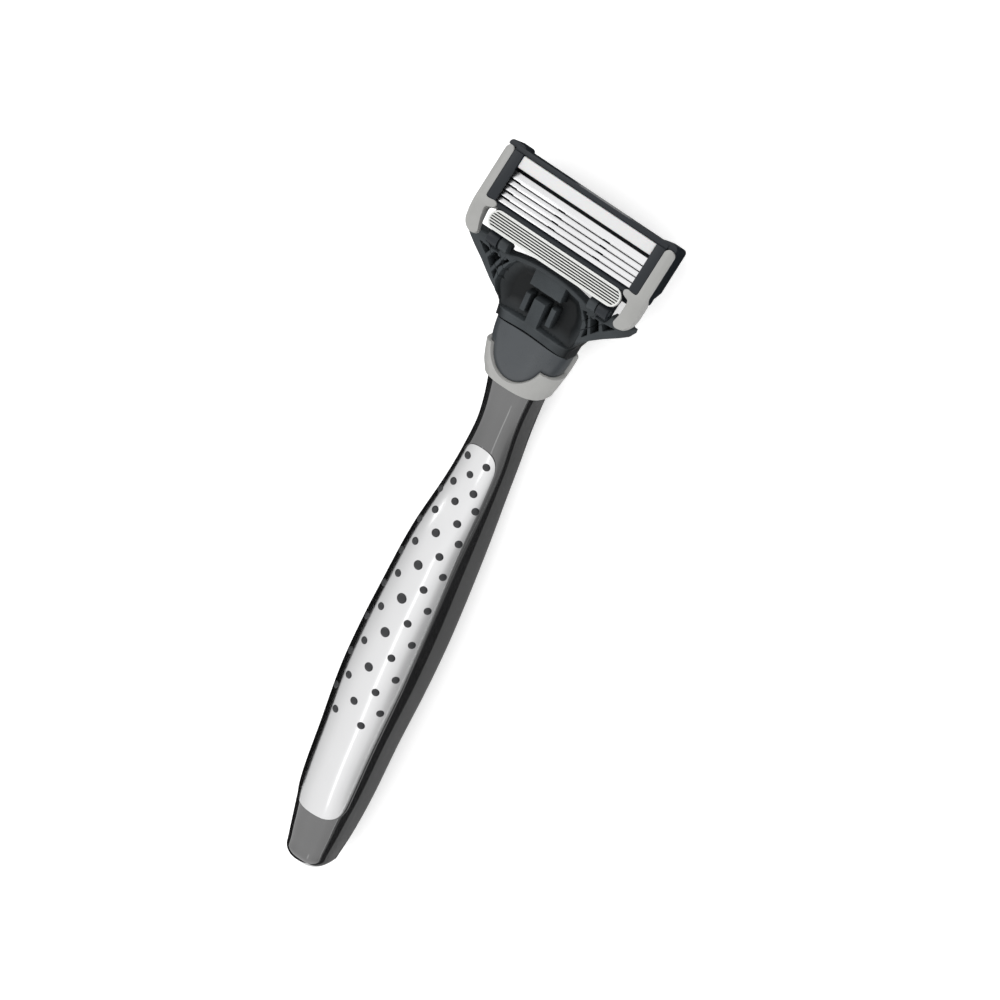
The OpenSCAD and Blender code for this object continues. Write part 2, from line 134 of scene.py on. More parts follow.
class Recipe:
    """One material under construction."""

    def __init__(self, name: str) -> None:
        """Starts a material with its shader and object coordinates.

        Args:
            name: The material's name.
        """
        self.material = bpy.data.materials.new(name)
        self.material.use_nodes = True
        self.tree = self.material.node_tree
        self.shader = next(n for n in self.tree.nodes if n.type == "BSDF_PRINCIPLED")
        self.place = self.node("ShaderNodeTexCoord", output="Object")

    def node(
        self,
        kind: str,
        settings: dict[str, object] | None = None,
        inputs: dict[str, object] | None = None,
        output: str | int = 0,
    ) -> Wire:
        """Adds a node with its settings first and then its inputs.

        Args:
            kind: The node's type.
            settings: Attributes of the node; "stops" sets a ramp's stops.
            inputs: Values or wires by socket name.
            output: Name or index of the output wanted.

        Returns:
            That output as a wire.
        """
        node = self.tree.nodes.new(kind)
        for key, value in (settings or {}).items():
            if key == "stops":
                ramp = node.color_ramp
                while len(ramp.elements) < len(value):
                    ramp.elements.new(0.5)
                for element, (at, level) in zip(ramp.elements, value):
                    element.position = at
                    element.color = (level, level, level, 1) if isinstance(level, float) else (*level, 1)
            else:
                setattr(node, key, value)
        for key, value in (inputs or {}).items():
            socket = node.inputs[key]
            if isinstance(value, Wire):
                self.tree.links.new(value.socket, socket)
            else:
                socket.default_value = value
        return Wire(self.tree, node.outputs[output])

    def noise(self, scale: float, detail: float = 3, stretch: tuple[float, float, float] = (1, 1, 1)) -> Wire:
        """Noise on object coordinates.

        Args:
            scale: Cells per metre.
            detail: Octaves.
            stretch: How the coordinates are scaled along each axis.

        Returns:
            The noise, from 0 to 1.
        """
        where = self.node("ShaderNodeMapping", inputs={"Vector": self.place, "Scale": stretch})
        return self.node(
            "ShaderNodeTexNoise", inputs={"Vector": where, "Scale": scale, "Detail": detail, "Roughness": 0.6}
        )

    def tint(self, factor: Wire, dark: Sequence[float], light: Sequence[float]) -> Wire:
        """Mixes two colours.

        Args:
            factor: 0 gives the dark colour and 1 the light one.
            dark: Linear RGB.
            light: Linear RGB.

        Returns:
            The mixed colour.
        """
        node = self.tree.nodes.new("ShaderNodeMix")
        node.data_type = "RGBA"
        self.tree.links.new(factor.socket, node.inputs["Factor"])
        node.inputs[6].default_value = (*dark, 1)
        node.inputs[7].default_value = (*light, 1)
        return Wire(self.tree, node.outputs[2])

    def plug(self, socket: str, value: "Wire | float | Sequence[float]") -> None:
        """Sets or links one socket of the shader.

        Args:
            socket: The socket's name.
            value: A wire, a number or a colour.
        """
        target = self.shader.inputs[socket]
        if isinstance(value, Wire):
            self.tree.links.new(value.socket, target)
        elif isinstance(value, (int, float)):
            target.default_value = value
        else:
            target.default_value = (*value, 1)

    def bump(self, height: Wire, distance: float, strength: float = 1.0) -> None:
        """Feeds a height into the shader's normal.

        Args:
            height: The height, from 0 to 1.
            distance: What 1 stands for, in metres.
            strength: Share of the effect.
        """
        self.plug(
            "Normal",
            self.node("ShaderNodeBump", inputs={"Height": height, "Distance": distance, "Strength": strength}),
        )


# ---------------------------------------------------------------- finishes


@dataclass(frozen=True)
class GlossMoulding:
    """Hard plastic polished to a deep gloss, with faint handling marks."""

    name: str
    colour: tuple[float, float, float]
    roughness: float = 0.07

    def make(self) -> bpy.types.Material:
        """Builds the material."""
        r = Recipe(self.name)
        marks = r.noise(260, 4, (1, 0.35, 1))
        lighter = tuple(c * 1.5 + 0.004 for c in self.colour)
        r.plug("Base Color", r.tint(r.noise(90, 2), self.colour, lighter))
        r.plug("Roughness", self.roughness + 0.07 * marks ** 3)
        r.plug("Coat Weight", 1.0)
        r.shader.inputs["IOR"].default_value = 1.8
        r.shader.inputs["Coat IOR"].default_value = 1.7
        r.shader.inputs["Coat Roughness"].default_value = 0.03
        r.bump(r.noise(420, 2), 0.00002, 0.25)
        return r.material


@dataclass(frozen=True)
class SatinMoulding:
    """Moulded plastic with a fine spark-eroded grain and slightly paler high spots; with a painted-shade band,
    painted shade darkens it below that band.
    """

    name: str
    colour: tuple[float, float, float]
    roughness: float = 0.42
    grain: float = 9000
    depth: float = 0.00001
    shine: float = 0.35
    # Heights in millimetres over the table: below the lower one the colour is darkest, as painted shade; above
    # the upper one it is the plain colour.
    painted_shade_band: tuple[float, float] | None = None

    def make(self) -> bpy.types.Material:
        """Builds the material."""
        r = Recipe(self.name)
        grain = r.noise(self.grain, 3)
        cloud = r.noise(170, 3)
        light = tuple(c * 1.22 for c in self.colour)
        dark = tuple(c * 0.86 for c in self.colour)
        share = 0.55 * cloud + 0.45 * grain
        # Painted shade: the base colour darkens towards 0.14 of the colour low down, standing in for the shade
        # in recesses and underneath.
        if self.painted_shade_band:
            height = r.node("ShaderNodeSeparateXYZ", inputs={"Vector": r.place}, output=2)
            low, high = (z * MM for z in self.painted_shade_band)
            rise = r.node("ShaderNodeMapRange", inputs={"Value": height, "From Min": low, "From Max": high})
            share = share * rise
            dark = tuple(c * 0.14 for c in self.colour)
        r.plug("Base Color", r.tint(share, dark, light))
        r.plug("Roughness", self.roughness + 0.16 * (grain - 0.5) + 0.08 * (cloud - 0.5))
        r.shader.inputs["Specular IOR Level"].default_value = self.shine
        r.bump(grain, self.depth, 0.5)
        return r.material


@dataclass(frozen=True)
class Elastomer:
    """Soft rubber-like moulding with a matt skin."""

    name: str
    colour: tuple[float, float, float]
    roughness: float = 0.55

    def make(self) -> bpy.types.Material:
        """Builds the material."""
        r = Recipe(self.name)
        pores = r.noise(12000, 4)
        cloud = r.noise(220, 3)
        dark, light = (tuple(c * share for c in self.colour) for share in (0.88, 1.1))
        r.plug("Base Color", r.tint(cloud, dark, light))
        r.plug("Roughness", self.roughness + 0.15 * (pores - 0.5))
        r.shader.inputs["Sheen Weight"].default_value = 0.12
        r.bump(pores, 0.000012, 0.6)
        return r.material


@dataclass(frozen=True)
class ChromedSheet:
    """Pressed metal sheet, satin chromed, with fine lines along the handle."""

    name: str
    colour: tuple[float, float, float]
    roughness: float = 0.16

    def make(self) -> bpy.types.Material:
        """Builds the material."""
        r = Recipe(self.name)
        lines = r.noise(5200, 3, (1, 0.02, 1))
        smears = r.noise(120, 4)
        r.plug("Metallic", 1.0)
        r.plug("Base Color", r.tint(smears, tuple(c * 0.95 for c in self.colour), self.colour))
        r.plug("Roughness", self.roughness + 0.1 * (lines - 0.5) + 0.08 * smears ** 2)
        r.bump(lines, 0.000004, 0.35)
        return r.material


@dataclass(frozen=True)
class GroundSteel:
    """Steel ground along the blade, with the grinding lines across the shaving direction."""

    name: str
    colour: tuple[float, float, float]
    roughness: float = 0.22

    def make(self) -> bpy.types.Material:
        """Builds the material."""
        r = Recipe(self.name)
        lines = r.noise(9000, 3, (0.015, 1, 1))
        smears = r.noise(300, 3)
        r.plug("Metallic", 1.0)
        r.plug("Base Color", r.tint(lines, tuple(c * 0.86 for c in self.colour), self.colour))
        r.plug("Roughness", self.roughness + 0.14 * (lines - 0.5) + 0.06 * smears)
        r.bump(lines, 0.000003, 0.4)
        return r.material


@dataclass(frozen=True)
class WaxStrip:
    """White lubricating strip: pressed powdery wax with fine pale specks."""

    name: str
    colour: tuple[float, float, float]

    def make(self) -> bpy.types.Material:
        """Builds the material."""
        r = Recipe(self.name)
        specks = r.noise(3800, 4)
        r.plug("Base Color", r.tint(specks, tuple(c * 0.9 for c in self.colour), self.colour))
        r.plug("Roughness", 0.45 + 0.2 * specks)
        r.shader.inputs["Subsurface Weight"].default_value = 0.1
        r.shader.inputs["Subsurface Scale"].default_value = 0.0004
        r.bump(specks, 0.00003, 0.5)
        return r.material


@dataclass(frozen=True)
class Backdrop:
    """Plain matt paper or cloth round the razor; paper on a light table also glows a little."""

    name: str
    colour: tuple[float, float, float]
    glow: float = 0.0

    def make(self) -> bpy.types.Material:
        """Builds the material."""
        r = Recipe(self.name)
        r.plug("Emission Color", self.colour)
        r.plug("Emission Strength", self.glow)
        fibres = r.noise(900, 3)
        r.plug("Base Color", r.tint(fibres, tuple(c * 0.985 for c in self.colour), self.colour))
        r.plug("Roughness", 0.9)
        r.shader.inputs["Specular IOR Level"].default_value = 0.0
        return r.material


class Finish(Enum):
    """The finishes that the razor's pieces take."""

    GLOSS = GlossMoulding("gloss_black", (0.012, 0.012, 0.0125))
    CHROME = ChromedSheet("satin_chrome", (0.71, 0.71, 0.715))
    NUB = Elastomer("black_rubber", (0.012, 0.013, 0.015), 0.42)
    COLLAR = SatinMoulding("warm_grey_collar", (0.36, 0.36, 0.35), 0.36)
    BUTTON = SatinMoulding("slate_button", (0.05, 0.056, 0.062), 0.3, shine=0.5)
    # Painted shade: the yoke's bowl, pockets and back go near black below 11.2 mm over the table, fading out
    # by 13.1 mm.
    YOKE = SatinMoulding("slate_yoke", (0.066, 0.075, 0.081), 0.36, shine=0.15, painted_shade_band=(11.2, 13.1))
    CHARCOAL = SatinMoulding("charcoal_housing", (0.014, 0.017, 0.021), 0.4, shine=0.26)
    NYLON = SatinMoulding("black_nylon", (0.02, 0.02, 0.022), 0.5)
    FIN = Elastomer("pale_fin_rubber", (0.72, 0.73, 0.71), 0.5)
    # Near black: painted shade for the floor between the guard's fins.
    BED = SatinMoulding("painted_shade_bed", (0.012, 0.012, 0.013), 0.6, shine=0.15)
    TRIM = Elastomer("warm_grey_trim", (0.34, 0.34, 0.33), 0.48)
    STRIP = WaxStrip("white_wax", (0.72, 0.72, 0.72))
    BLADE = GroundSteel("blade_steel", (0.8, 0.8, 0.81), 0.2)
    # Steel painted near black: painted shade for the gaps between the blades, where the supports show.
    SUPPORT = GroundSteel("support_steel", (0.07, 0.07, 0.075), 0.4)
    ACETAL = SatinMoulding("pale_acetal", (0.6, 0.6, 0.58), 0.45)
    SPRING = GroundSteel("spring_wire", (0.6, 0.6, 0.62), 0.25)
    CORE = GroundSteel("turned_core", (0.45, 0.45, 0.47), 0.35)
    PAPER = Backdrop("pale_paper", (0.95, 0.95, 0.95), 0.45)
    CLOTH = Backdrop("black_cloth", (0.001, 0.001, 0.001))
    SHADE = Backdrop("grey_cloth", (0.25, 0.25, 0.25))


MADE: dict[Finish, bpy.types.Material] = {}


def material_of(finish: Finish) -> bpy.types.Material:
    """Builds a finish the first time it is asked for.

    Args:
        finish: The finish wanted.

    Returns:
        Its material.
    """
    if finish not in MADE:
        MADE[finish] = finish.value.make()
    return MADE[finish]


# ---------------------------------------------------------------- workbench


def start_clean() -> None:
    """Leaves nothing selected and the mode on objects."""
    if bpy.context.object and bpy.context.object.mode != "OBJECT":
        bpy.ops.object.mode_set(mode="OBJECT")
    bpy.ops.object.select_all(action="DESELECT")


def pick(obj: bpy.types.Object) -> bpy.types.Object:
    """Selects one object alone and makes it the active one."""
    start_clean()
    obj.select_set(True)
    bpy.context.view_layer.objects.active = obj
    return obj


def linked(name: str, mesh: bpy.types.Mesh) -> bpy.types.Object:
    """Puts a mesh in the scene as a new object.

    Args:
        name: The object's name.
        mesh: Its mesh.

    Returns:
        The object.
    """
    obj = bpy.data.objects.new(name, mesh)
    bpy.context.scene.collection.objects.link(obj)
    return obj


def face_out() -> None:
    """Turns the selected faces outwards, in edit mode."""
    bpy.ops.mesh.normals_make_consistent(inside=False)


def pick_rims() -> None:
    """Selects only the open edges of a sheet, in edit mode."""
    bpy.ops.mesh.select_all(action="DESELECT")
    bpy.ops.mesh.select_non_manifold(
        extend=False,
        use_wire=False,
        use_boundary=True,
        use_multi_face=False,
        use_non_contiguous=False,
        use_verts=False,
    )


def pick_all() -> None:
    """Selects the whole mesh, in edit mode."""
    bpy.ops.mesh.select_all(action="SELECT")


def edit(obj: bpy.types.Object, *steps: Callable[[], object]) -> None:
    """Runs operators in edit mode on the whole of an object.

    Args:
        obj: The object to edit.
        steps: Calls that run one operator each.
    """
    pick(obj)
    bpy.ops.object.mode_set(mode="EDIT")
    pick_all()
    for step in steps:
        step()
    bpy.ops.object.mode_set(mode="OBJECT")


def apply_modifier(obj: bpy.types.Object, kind: str, **settings: object) -> bpy.types.Object:
    """Adds a modifier and applies it.

    Args:
        obj: The object.
        kind: The modifier's type.
        settings: Its attributes.

    Returns:
        The object.
    """
    pick(obj)
    modifier = obj.modifiers.new(kind.lower(), kind)
    for key, value in settings.items():
        setattr(modifier, key, value)
    bpy.ops.object.modifier_apply(modifier=modifier.name)
    return obj


def merge(obj: bpy.types.Object, distance: float = 1e-6) -> bpy.types.Object:
    """Merges doubled vertices and turns every face outwards."""
    edit(obj, lambda: bpy.ops.mesh.remove_doubles(threshold=distance), face_out)
    return obj


def soften(obj: bpy.types.Object, width: float, segments: int = 3, angle: float = 30) -> bpy.types.Object:
    """Rounds an object's sharp edges.

    Args:
        obj: The object.
        width: Width of the rounding in millimetres.
        segments: Steps across it.
        angle: Edges sharper than this many degrees are rounded.

    Returns:
        The object.
    """
    return apply_modifier(
        obj,
        "BEVEL",
        width=width * MM,
        segments=segments,
        limit_method="ANGLE",
        angle_limit=math.radians(angle),
        harden_normals=False,
    )


def smooth(obj: bpy.types.Object, angle: float = 35) -> bpy.types.Object:
    """Shades an object smooth up to an angle in degrees."""
    pick(obj)
    bpy.ops.object.shade_smooth_by_angle(angle=math.radians(angle))
    return obj


def sheet_of(name: str, places: np.ndarray) -> bpy.types.Object:
    """Adds a grid and lays its vertices on a table of points.

    Args:
        name: The piece's name.
        places: Rows by columns by 3, in millimetres, with heights from the neck's base level.

    Returns:
        The sheet, facing the side from which rows run up and columns run to the right.
    """
    rows, cols = places.shape[:2]
    start_clean()
    bpy.ops.mesh.primitive_grid_add(x_subdivisions=cols - 1, y_subdivisions=rows - 1, size=1)
    obj = bpy.context.object
    obj.name = name
    flat = np.empty(len(obj.data.vertices) * 3)
    obj.data.vertices.foreach_get("co", flat)
    flat = flat.reshape(-1, 3)
    col = np.rint((flat[:, 0] + 0.5) * (cols - 1)).astype(int)
    row = np.rint((flat[:, 1] + 0.5) * (rows - 1)).astype(int)
    obj.data.vertices.foreach_set("co", ((places[row, col] + (0, 0, LIFT)) * MM).ravel())
    obj.data.update()
    return obj


def slab_of(name: str, outline: Outline, low: float, high: float, place: Matrix) -> bpy.types.Object:
    """Cuts a flat disc to an outline and extrudes it to its thickness.

    Args:
        name: The piece's name.
        outline: Points round the piece, anticlockwise, in millimetres.
        low: Height of its underside.
        high: Height of its top.
        place: Matrix that takes the millimetre frame of the outline to the row's frame, in metres.

    Returns:
        The closed slab.
    """
    start_clean()
    bpy.ops.mesh.primitive_circle_add(vertices=len(outline), radius=1, fill_type="NGON")
    obj = bpy.context.object
    obj.name = name
    for vertex, (x, y) in zip(obj.data.vertices, outline):
        vertex.co = (x, y, low)
    edit(
        obj,
        lambda: bpy.ops.mesh.extrude_region_move(TRANSFORM_OT_translate={"value": (0, 0, high - low)}),
        pick_all,
        face_out,
    )
    obj.data.transform(place)
    return obj


def rectangle(x0: float, y0: float, x1: float, y1: float) -> Outline:
    """Outline of a rectangle, anticlockwise."""
    return [(x0, y0), (x1, y0), (x1, y1), (x0, y1)]


def box_of(
    name: str, low: Sequence[float], high: Sequence[float], place: Matrix, round_off: float
) -> bpy.types.Object:
    """Adds a block with rounded edges.

    Args:
        name: The piece's name.
        low: Its lowest corner in millimetres.
        high: Its highest corner in millimetres.
        place: Matrix from the block's frame to the row's frame, in metres.
        round_off: Width of the rounding in millimetres.

    Returns:
        The block.
    """
    return soften(slab_of(name, rectangle(*low[:2], *high[:2]), low[2], high[2], place), round_off)


def rounded_outline(points: Outline, radius: float, steps: int = 5) -> Outline:
    """Rounds the corners of an outline with arcs.

    Args:
        points: Its corners.
        radius: Radius of the arcs, less where two corners are close.
        steps: Points along each arc.

    Returns:
        The rounded outline.
    """
    out: Outline = []
    for k, corner in enumerate(points):
        here = Vector(corner)
        before = Vector(points[k - 1]) - here
        after = Vector(points[(k + 1) % len(points)]) - here
        reach = min(radius, before.length * 0.45, after.length * 0.45)
        a, b = here + before.normalized() * reach, here + after.normalized() * reach
        for s in range(steps):
            t = s / (steps - 1)
            p = a * (1 - t) ** 2 + here * 2 * t * (1 - t) + b * t ** 2
            out.append((p.x, p.y))
    return out


def joined(name: str, parts: list[bpy.types.Object]) -> bpy.types.Object:
    """Joins objects into one piece.

    Args:
        name: The piece's name.
        parts: The objects.

    Returns:
        The piece.
    """
    pick(parts[0])
    for part in parts[1:]:
        part.select_set(True)
    bpy.ops.object.join()
    bpy.context.object.name = name
    return bpy.context.object


def mirrored(obj: bpy.types.Object, name: str) -> bpy.types.Object:
    """Copies a piece to the other side of the middle plane.

    Args:
        obj: The piece on one side.
        name: The copy's name.

    Returns:
        The copy.
    """
    copy = linked(name, obj.data.copy())
    copy.data.transform(Matrix.Scale(-1, 4, (1, 0, 0)))
    edit(copy, face_out)
    return copy


def copy_of_node(node: str, name: str) -> bpy.types.Object:
    """Copies a CAD node's mesh, merged and freed of flat seams, as the start of a piece.

    Args:
        node: The node.
        name: The piece's name.

    Returns:
        The copy.
    """
    copy = linked(name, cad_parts[node].data.copy())
    copy.data.materials.clear()
    edit(
        copy,
        lambda: bpy.ops.mesh.remove_doubles(threshold=1e-6),
        lambda: bpy.ops.mesh.dissolve_limited(angle_limit=math.radians(1)),
    )
    return copy


def dress(obj: bpy.types.Object, finish: Finish) -> None:
    """Gives an object one finish all over."""
    obj.data.materials.clear()
    obj.data.materials.append(material_of(finish))


def fit_piece(obj: bpy.types.Object, body: str, finish: Finish, slot: str, *nodes: str) -> bpy.types.Object:
    """Dresses a finished piece, makes it ride on its body and stand for its nodes.

    Args:
        obj: The piece.
        body: The CAD body that it moves with.
        finish: Its finish.
        slot: The record's material slot; not used.
        nodes: The CAD nodes that it stands for.

    Returns:
        The piece.
    """
    dress(obj, finish)
    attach(obj, body)
    if nodes:
        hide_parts(*nodes)
    LOG.info("%s: %d faces on %s", obj.name, len(obj.data.polygons), body)
    return obj


def steps(low: float, high: float, count: int) -> np.ndarray:
    """Evenly spaced numbers."""
    return np.linspace(low, high, count)


def eased(low: float, high: float, x: np.ndarray) -> np.ndarray:
    """Smooth step from 0 at low to 1 at high."""
    t = np.clip((x - low) / (high - low), 0, 1)
    return t * t * (3 - 2 * t)


def spread_of(angle: np.ndarray, power: float) -> np.ndarray:
    """Share of the half width at angles round a rounded-square section."""
    c = np.cos(np.radians(angle))
    return np.sign(c) * np.abs(c) ** (2 / power)


def inside_by(points: Outline, x: np.ndarray, y: np.ndarray) -> np.ndarray:
    """Signed distance into an outline.

    Args:
        points: The outline's corners.
        x: Places across.
        y: Places along.

    Returns:
        Distance from the outline, positive inside it.
    """
    best = np.full(x.shape, np.inf)
    inside = np.zeros(x.shape, bool)
    for (x1, y1), (x2, y2) in zip(points, points[1:] + points[:1]):
        dx, dy = x2 - x1, y2 - y1
        t = np.clip(((x - x1) * dx + (y - y1) * dy) / (dx * dx + dy * dy), 0, 1)
        best = np.minimum(best, np.hypot(x - x1 - t * dx, y - y1 - t * dy))
        if y1 != y2:
            crosses = ((y1 > y) != (y2 > y)) & (x < dx * (y - y1) / dy + x1)
            inside ^= crosses
    return np.where(inside, best, -best)


# ---------------------------------------------------------------- the handle


@dataclass
class Spine:
    """The line and sections that the handle and neck share."""

    butt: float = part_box("handle_shell")[0].y / MM
    cap: float = 3.5
    power: float = 2.6
    stations: tuple[tuple[float, float, float, float], ...] = (
        (3.5, 4.65, 5.2, -0.6),
        (9, 5.45, 6.3, -1.5),
        (18, 6.43, 7.45, -1.75),
        (30, 6.95, 8.15, -2),
        (42, 7.6, 9, -2.8),
        (52, 7.7, 9.2, -3.5),
        (62, 7.45, 8.8, -3.65),
        (74, 6.85, 8, -3.65),
        (85, 5.8, 6.1, -3.6),
        (92, 5.3, 5.4, -3.5),
        (100, 4.9, 5.4, -3.2),
        (110.1, 5.85, 5.3, -0.9),
        (112.5, 6.7, 5.3, -0.1),
        (117.5, 7.95, 5.2, 0.25),
        (121.5, 8.5, 5.1, 0.2),
    )

    def along(self, y: np.ndarray, column: int) -> np.ndarray:
        """Smooth curve through one column of the stations.

        Args:
            y: Distances from the butt.
            column: 1 for half width, 2 for half thickness, 3 for the back line.

        Returns:
            The values.
        """
        table = np.array(self.stations)
        at, level = table[:, 0], table[:, column]
        y = np.clip(np.asarray(y, float), self.cap, None)
        i = np.clip(np.searchsorted(at, y, side="right") - 1, 0, len(at) - 2)
        low, high = np.maximum(np.arange(len(at)) - 1, 0), np.minimum(np.arange(len(at)) + 1, len(at) - 1)
        slope = (level[high] - level[low]) / (at[high] - at[low])
        h = at[i + 1] - at[i]
        t = (y - at[i]) / h
        return (
            level[i] * (1 + t * t * (2 * t - 3))
            + level[i + 1] * t * t * (3 - 2 * t)
            + h * slope[i] * t * (1 - t) ** 2
            - h * slope[i + 1] * t * t * (1 - t)
        )

    def middle(self, y: np.ndarray) -> np.ndarray:
        """Height of the section's middle."""
        return self.along(y, 2) + self.along(y, 3)

    def skin(self, y: np.ndarray, angle: np.ndarray, inset: "np.ndarray | float" = 0.0) -> np.ndarray:
        """Points on the rounded-square section.

        Args:
            y: Distances from the butt.
            angle: Angles on the section in degrees, 0 to the right and 90 on top.
            inset: How far under the surface.

        Returns:
            Points in millimetres in the row's frame.
        """
        y, angle, inset = np.broadcast_arrays(np.asarray(y, float), angle, inset)
        end = np.where(y < self.cap, np.sqrt(np.clip(1 - ((self.cap - y) / self.cap) ** 2, 0, 1)), 1)
        w = (self.along(y, 1) - inset) * end
        t = (self.along(y, 2) - inset) * end
        x = w * spread_of(angle, self.power)
        z = self.middle(y) + t * spread_of(angle - 90, self.power)
        out_y = np.where(y < self.cap, inset + y * (self.cap - inset) / self.cap, y)
        return np.stack([x, out_y + self.butt, np.maximum(z, inset - LIFT)], -1)

    def normal_angle(self, y: float, share: float) -> float:
        """Lean of the surface's normal from straight up, in degrees, at a share of the half width."""
        high = (1 - share ** self.power) ** (1 / self.power)
        across = share ** (self.power - 1) / float(self.along(y, 1))
        up = high ** (self.power - 1) / float(self.along(y, 2))
        return math.degrees(math.atan2(across, up))


@dataclass
class Inlay:
    """A panel let into the handle: its middle angle, its span and its rounded ends."""

    middle: float
    start: float
    end: float
    wide: float
    narrow: float
    end_radius: float

    def spread(self, y: np.ndarray) -> np.ndarray:
        """Half angle that the panel covers at distances from the butt."""
        full = self.wide + (self.narrow - self.wide) * np.clip((y - 45) / 49, 0, 1)
        d = np.clip(np.minimum(y - self.start, self.end - y), 0, self.end_radius)
        e = (1 - (1 - d / self.end_radius) ** 2.2) ** (1 / 2.2)
        return full * np.maximum(0.03, e)

    def rows(self, pitch: float = 1.6) -> np.ndarray:
        """Distances for the panel's rows, closer at its ends."""
        ease = self.end_radius * (1 - np.cos(np.radians(steps(0, 90, 13))))
        count = int((self.end - self.start - 2 * self.end_radius) / pitch)
        middle = steps(self.start + self.end_radius, self.end - self.end_radius, count)
        return np.concatenate([self.start + ease, middle[1:-1], self.end - ease[::-1]])

    def covers(self, y: np.ndarray) -> np.ndarray:
        """True where the panel is."""
        return (y >= self.start) & (y <= self.end)


@dataclass
class Handle:
    """Handle body, metal grip plate, rubber nubs and rear cover."""

    spine: Spine
    length: float = 110.1
    plate: Inlay = field(default_factory=lambda: Inlay(90, 13, 95, 58, 42, 4.5))
    cover: Inlay = field(default_factory=lambda: Inlay(-90, 5, 106.5, 51, 51, 4))
    groove: float = 1.0
    plate_thick: float = 0.7
    plate_proud: float = 0.12
    cover_thick: float = 0.85
    cover_proud: float = 0.02
    nub_rise: float = 0.42
    centre_nubs: tuple[tuple[float, float], ...] = (
        (89.1, 0.8),
        (83.3, 0.85),
        (76.7, 0.95),
        (69.8, 1.05),
        (62.4, 1.15),
        (54.9, 1.1),
        (47.1, 1),
        (39.4, 0.9),
    )
    side_nub: float = 0.85
    inner_share: float = 0.42
    outer_share: float = 0.7

    def build(self) -> None:
        """Makes the handle's pieces."""
        fit_piece(self.make_body(), "handle", Finish.GLOSS, "gloss_body", "handle_shell")
        rear = self.make_panel("rear_panel", self.cover, self.cover_proud, self.cover_thick)
        fit_piece(rear, "handle", Finish.GLOSS, "gloss_body", "rear_cover")
        plate = self.make_panel("chromed_plate", self.plate, self.plate_proud, self.plate_thick)
        fit_piece(plate, "handle", Finish.CHROME, "plate_chrome", "grip_plate")
        fit_piece(self.make_nubs(), "handle", Finish.NUB, "nub_rubber", "grip_pad")
        dress(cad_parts["weight_bar"], Finish.CORE)

    def body_columns(self, y: np.ndarray) -> tuple[np.ndarray, np.ndarray]:
        """Angles and depths round the handle for each row, following both recesses.

        Args:
            y: Distances from the butt.

        Returns:
            Angles and insets, rows by columns.
        """
        lip = ((0.34, 0.0), (0.14, 0.012), (0.04, 0.06), (0.0, 0.16))
        degree = np.radians(1) * self.spine.along(y, 1)
        front, back = self.plate.spread(y), self.cover.spread(y)
        in_front, in_back = self.plate.covers(y), self.cover.covers(y)
        angles: list[np.ndarray] = []
        depths: list[np.ndarray] = []

        def put(angle: np.ndarray, depth: "np.ndarray | float") -> None:
            """Adds one column."""
            angles.append(angle)
            depths.append(np.broadcast_to(depth, y.shape))

        for t in steps(0, 1, 9):
            put(-90 + back * t, np.where(in_back, self.groove, 0))
        for off, depth in lip[::-1]:
            put(-90 + back + off / degree, np.where(in_back, depth, 0))
        right_low, right_high = -90 + back + 0.6 / degree, 90 - front - 0.6 / degree
        for t in steps(0, 1, 24):
            put(right_low + (right_high - right_low) * t, 0)
        for off, depth in lip:
            put(90 - front - off / degree, np.where(in_front, depth, 0))
        for t in steps(-1, 1, 25):
            put(90 + front * t, np.where(in_front, self.groove, 0))
        half = len(angles) - 25
        for k in range(half - 1, -1, -1):
            put(180 - angles[k], depths[k])
        return np.stack(angles, 1), np.stack(depths, 1)

    def make_body(self) -> bpy.types.Object:
        """Wraps a sheet round the sections and closes it into the body."""
        butt = self.spine.cap * (1 - np.cos(np.radians(steps(0, 90, 15))))
        rows = np.unique(
            np.concatenate(
                [
                    butt,
                    [panel.start - 0.1 for panel in (self.plate, self.cover)],
                    [panel.end + 0.1 for panel in (self.plate, self.cover)],
                    self.plate.rows(),
                    self.cover.rows(8)[:13],
                    self.cover.rows(8)[-13:],
                    steps(6, self.plate.start - 0.5, 4),
                    steps(self.plate.end + 0.6, self.length, 10),
                ]
            ).round(4)
        )
        angles, depths = self.body_columns(rows)
        body = sheet_of("handle_body", self.spine.skin(rows[:, None], angles, depths)[:, ::-1])
        merge(body, 2e-6)
        edit(
            body,
            pick_rims,
            lambda: bpy.ops.mesh.edge_face_add(),
            pick_all,
            face_out,
        )
        return smooth(body, 38)

    def make_panel(self, name: str, inlay: Inlay, proud: float, thick: float) -> bpy.types.Object:
        """Presses a sheet to the handle's form and gives it its thickness and rounded rim.

        Args:
            name: The piece's name.
            inlay: Where the panel sits.
            proud: How far its face stands above the body.
            thick: Its thickness.

        Returns:
            The panel.
        """
        rows = inlay.rows()
        spread = inlay.spread(rows) - 0.09 / (np.radians(1) * self.spine.along(rows, 1))
        angles = inlay.middle + spread[:, None] * steps(-1, 1, 33)[None]
        panel = sheet_of(name, self.spine.skin(rows[:, None], angles, -proud)[:, ::-1])
        apply_modifier(panel, "SOLIDIFY", thickness=thick * MM, offset=-1)
        soften(panel, 0.11, 3, 50)
        return smooth(panel, 40)

    def nub_places(self) -> list[tuple[float, float, float]]:
        """Distance, share of the half width and radius of every nub."""
        out = [(y, 0.0, r) for y, r in self.centre_nubs]
        ys = [y for y, _ in self.centre_nubs]
        between = [ys[0] + 2.9, *[(a + b) / 2 for a, b in zip(ys, ys[1:])], ys[-1] - 3.9]
        for side in (-1, 1):
            out += [(y, side * self.inner_share, self.side_nub) for y in between]
            out += [(y, side * self.outer_share, self.side_nub) for y in ys[1:]]
        return out

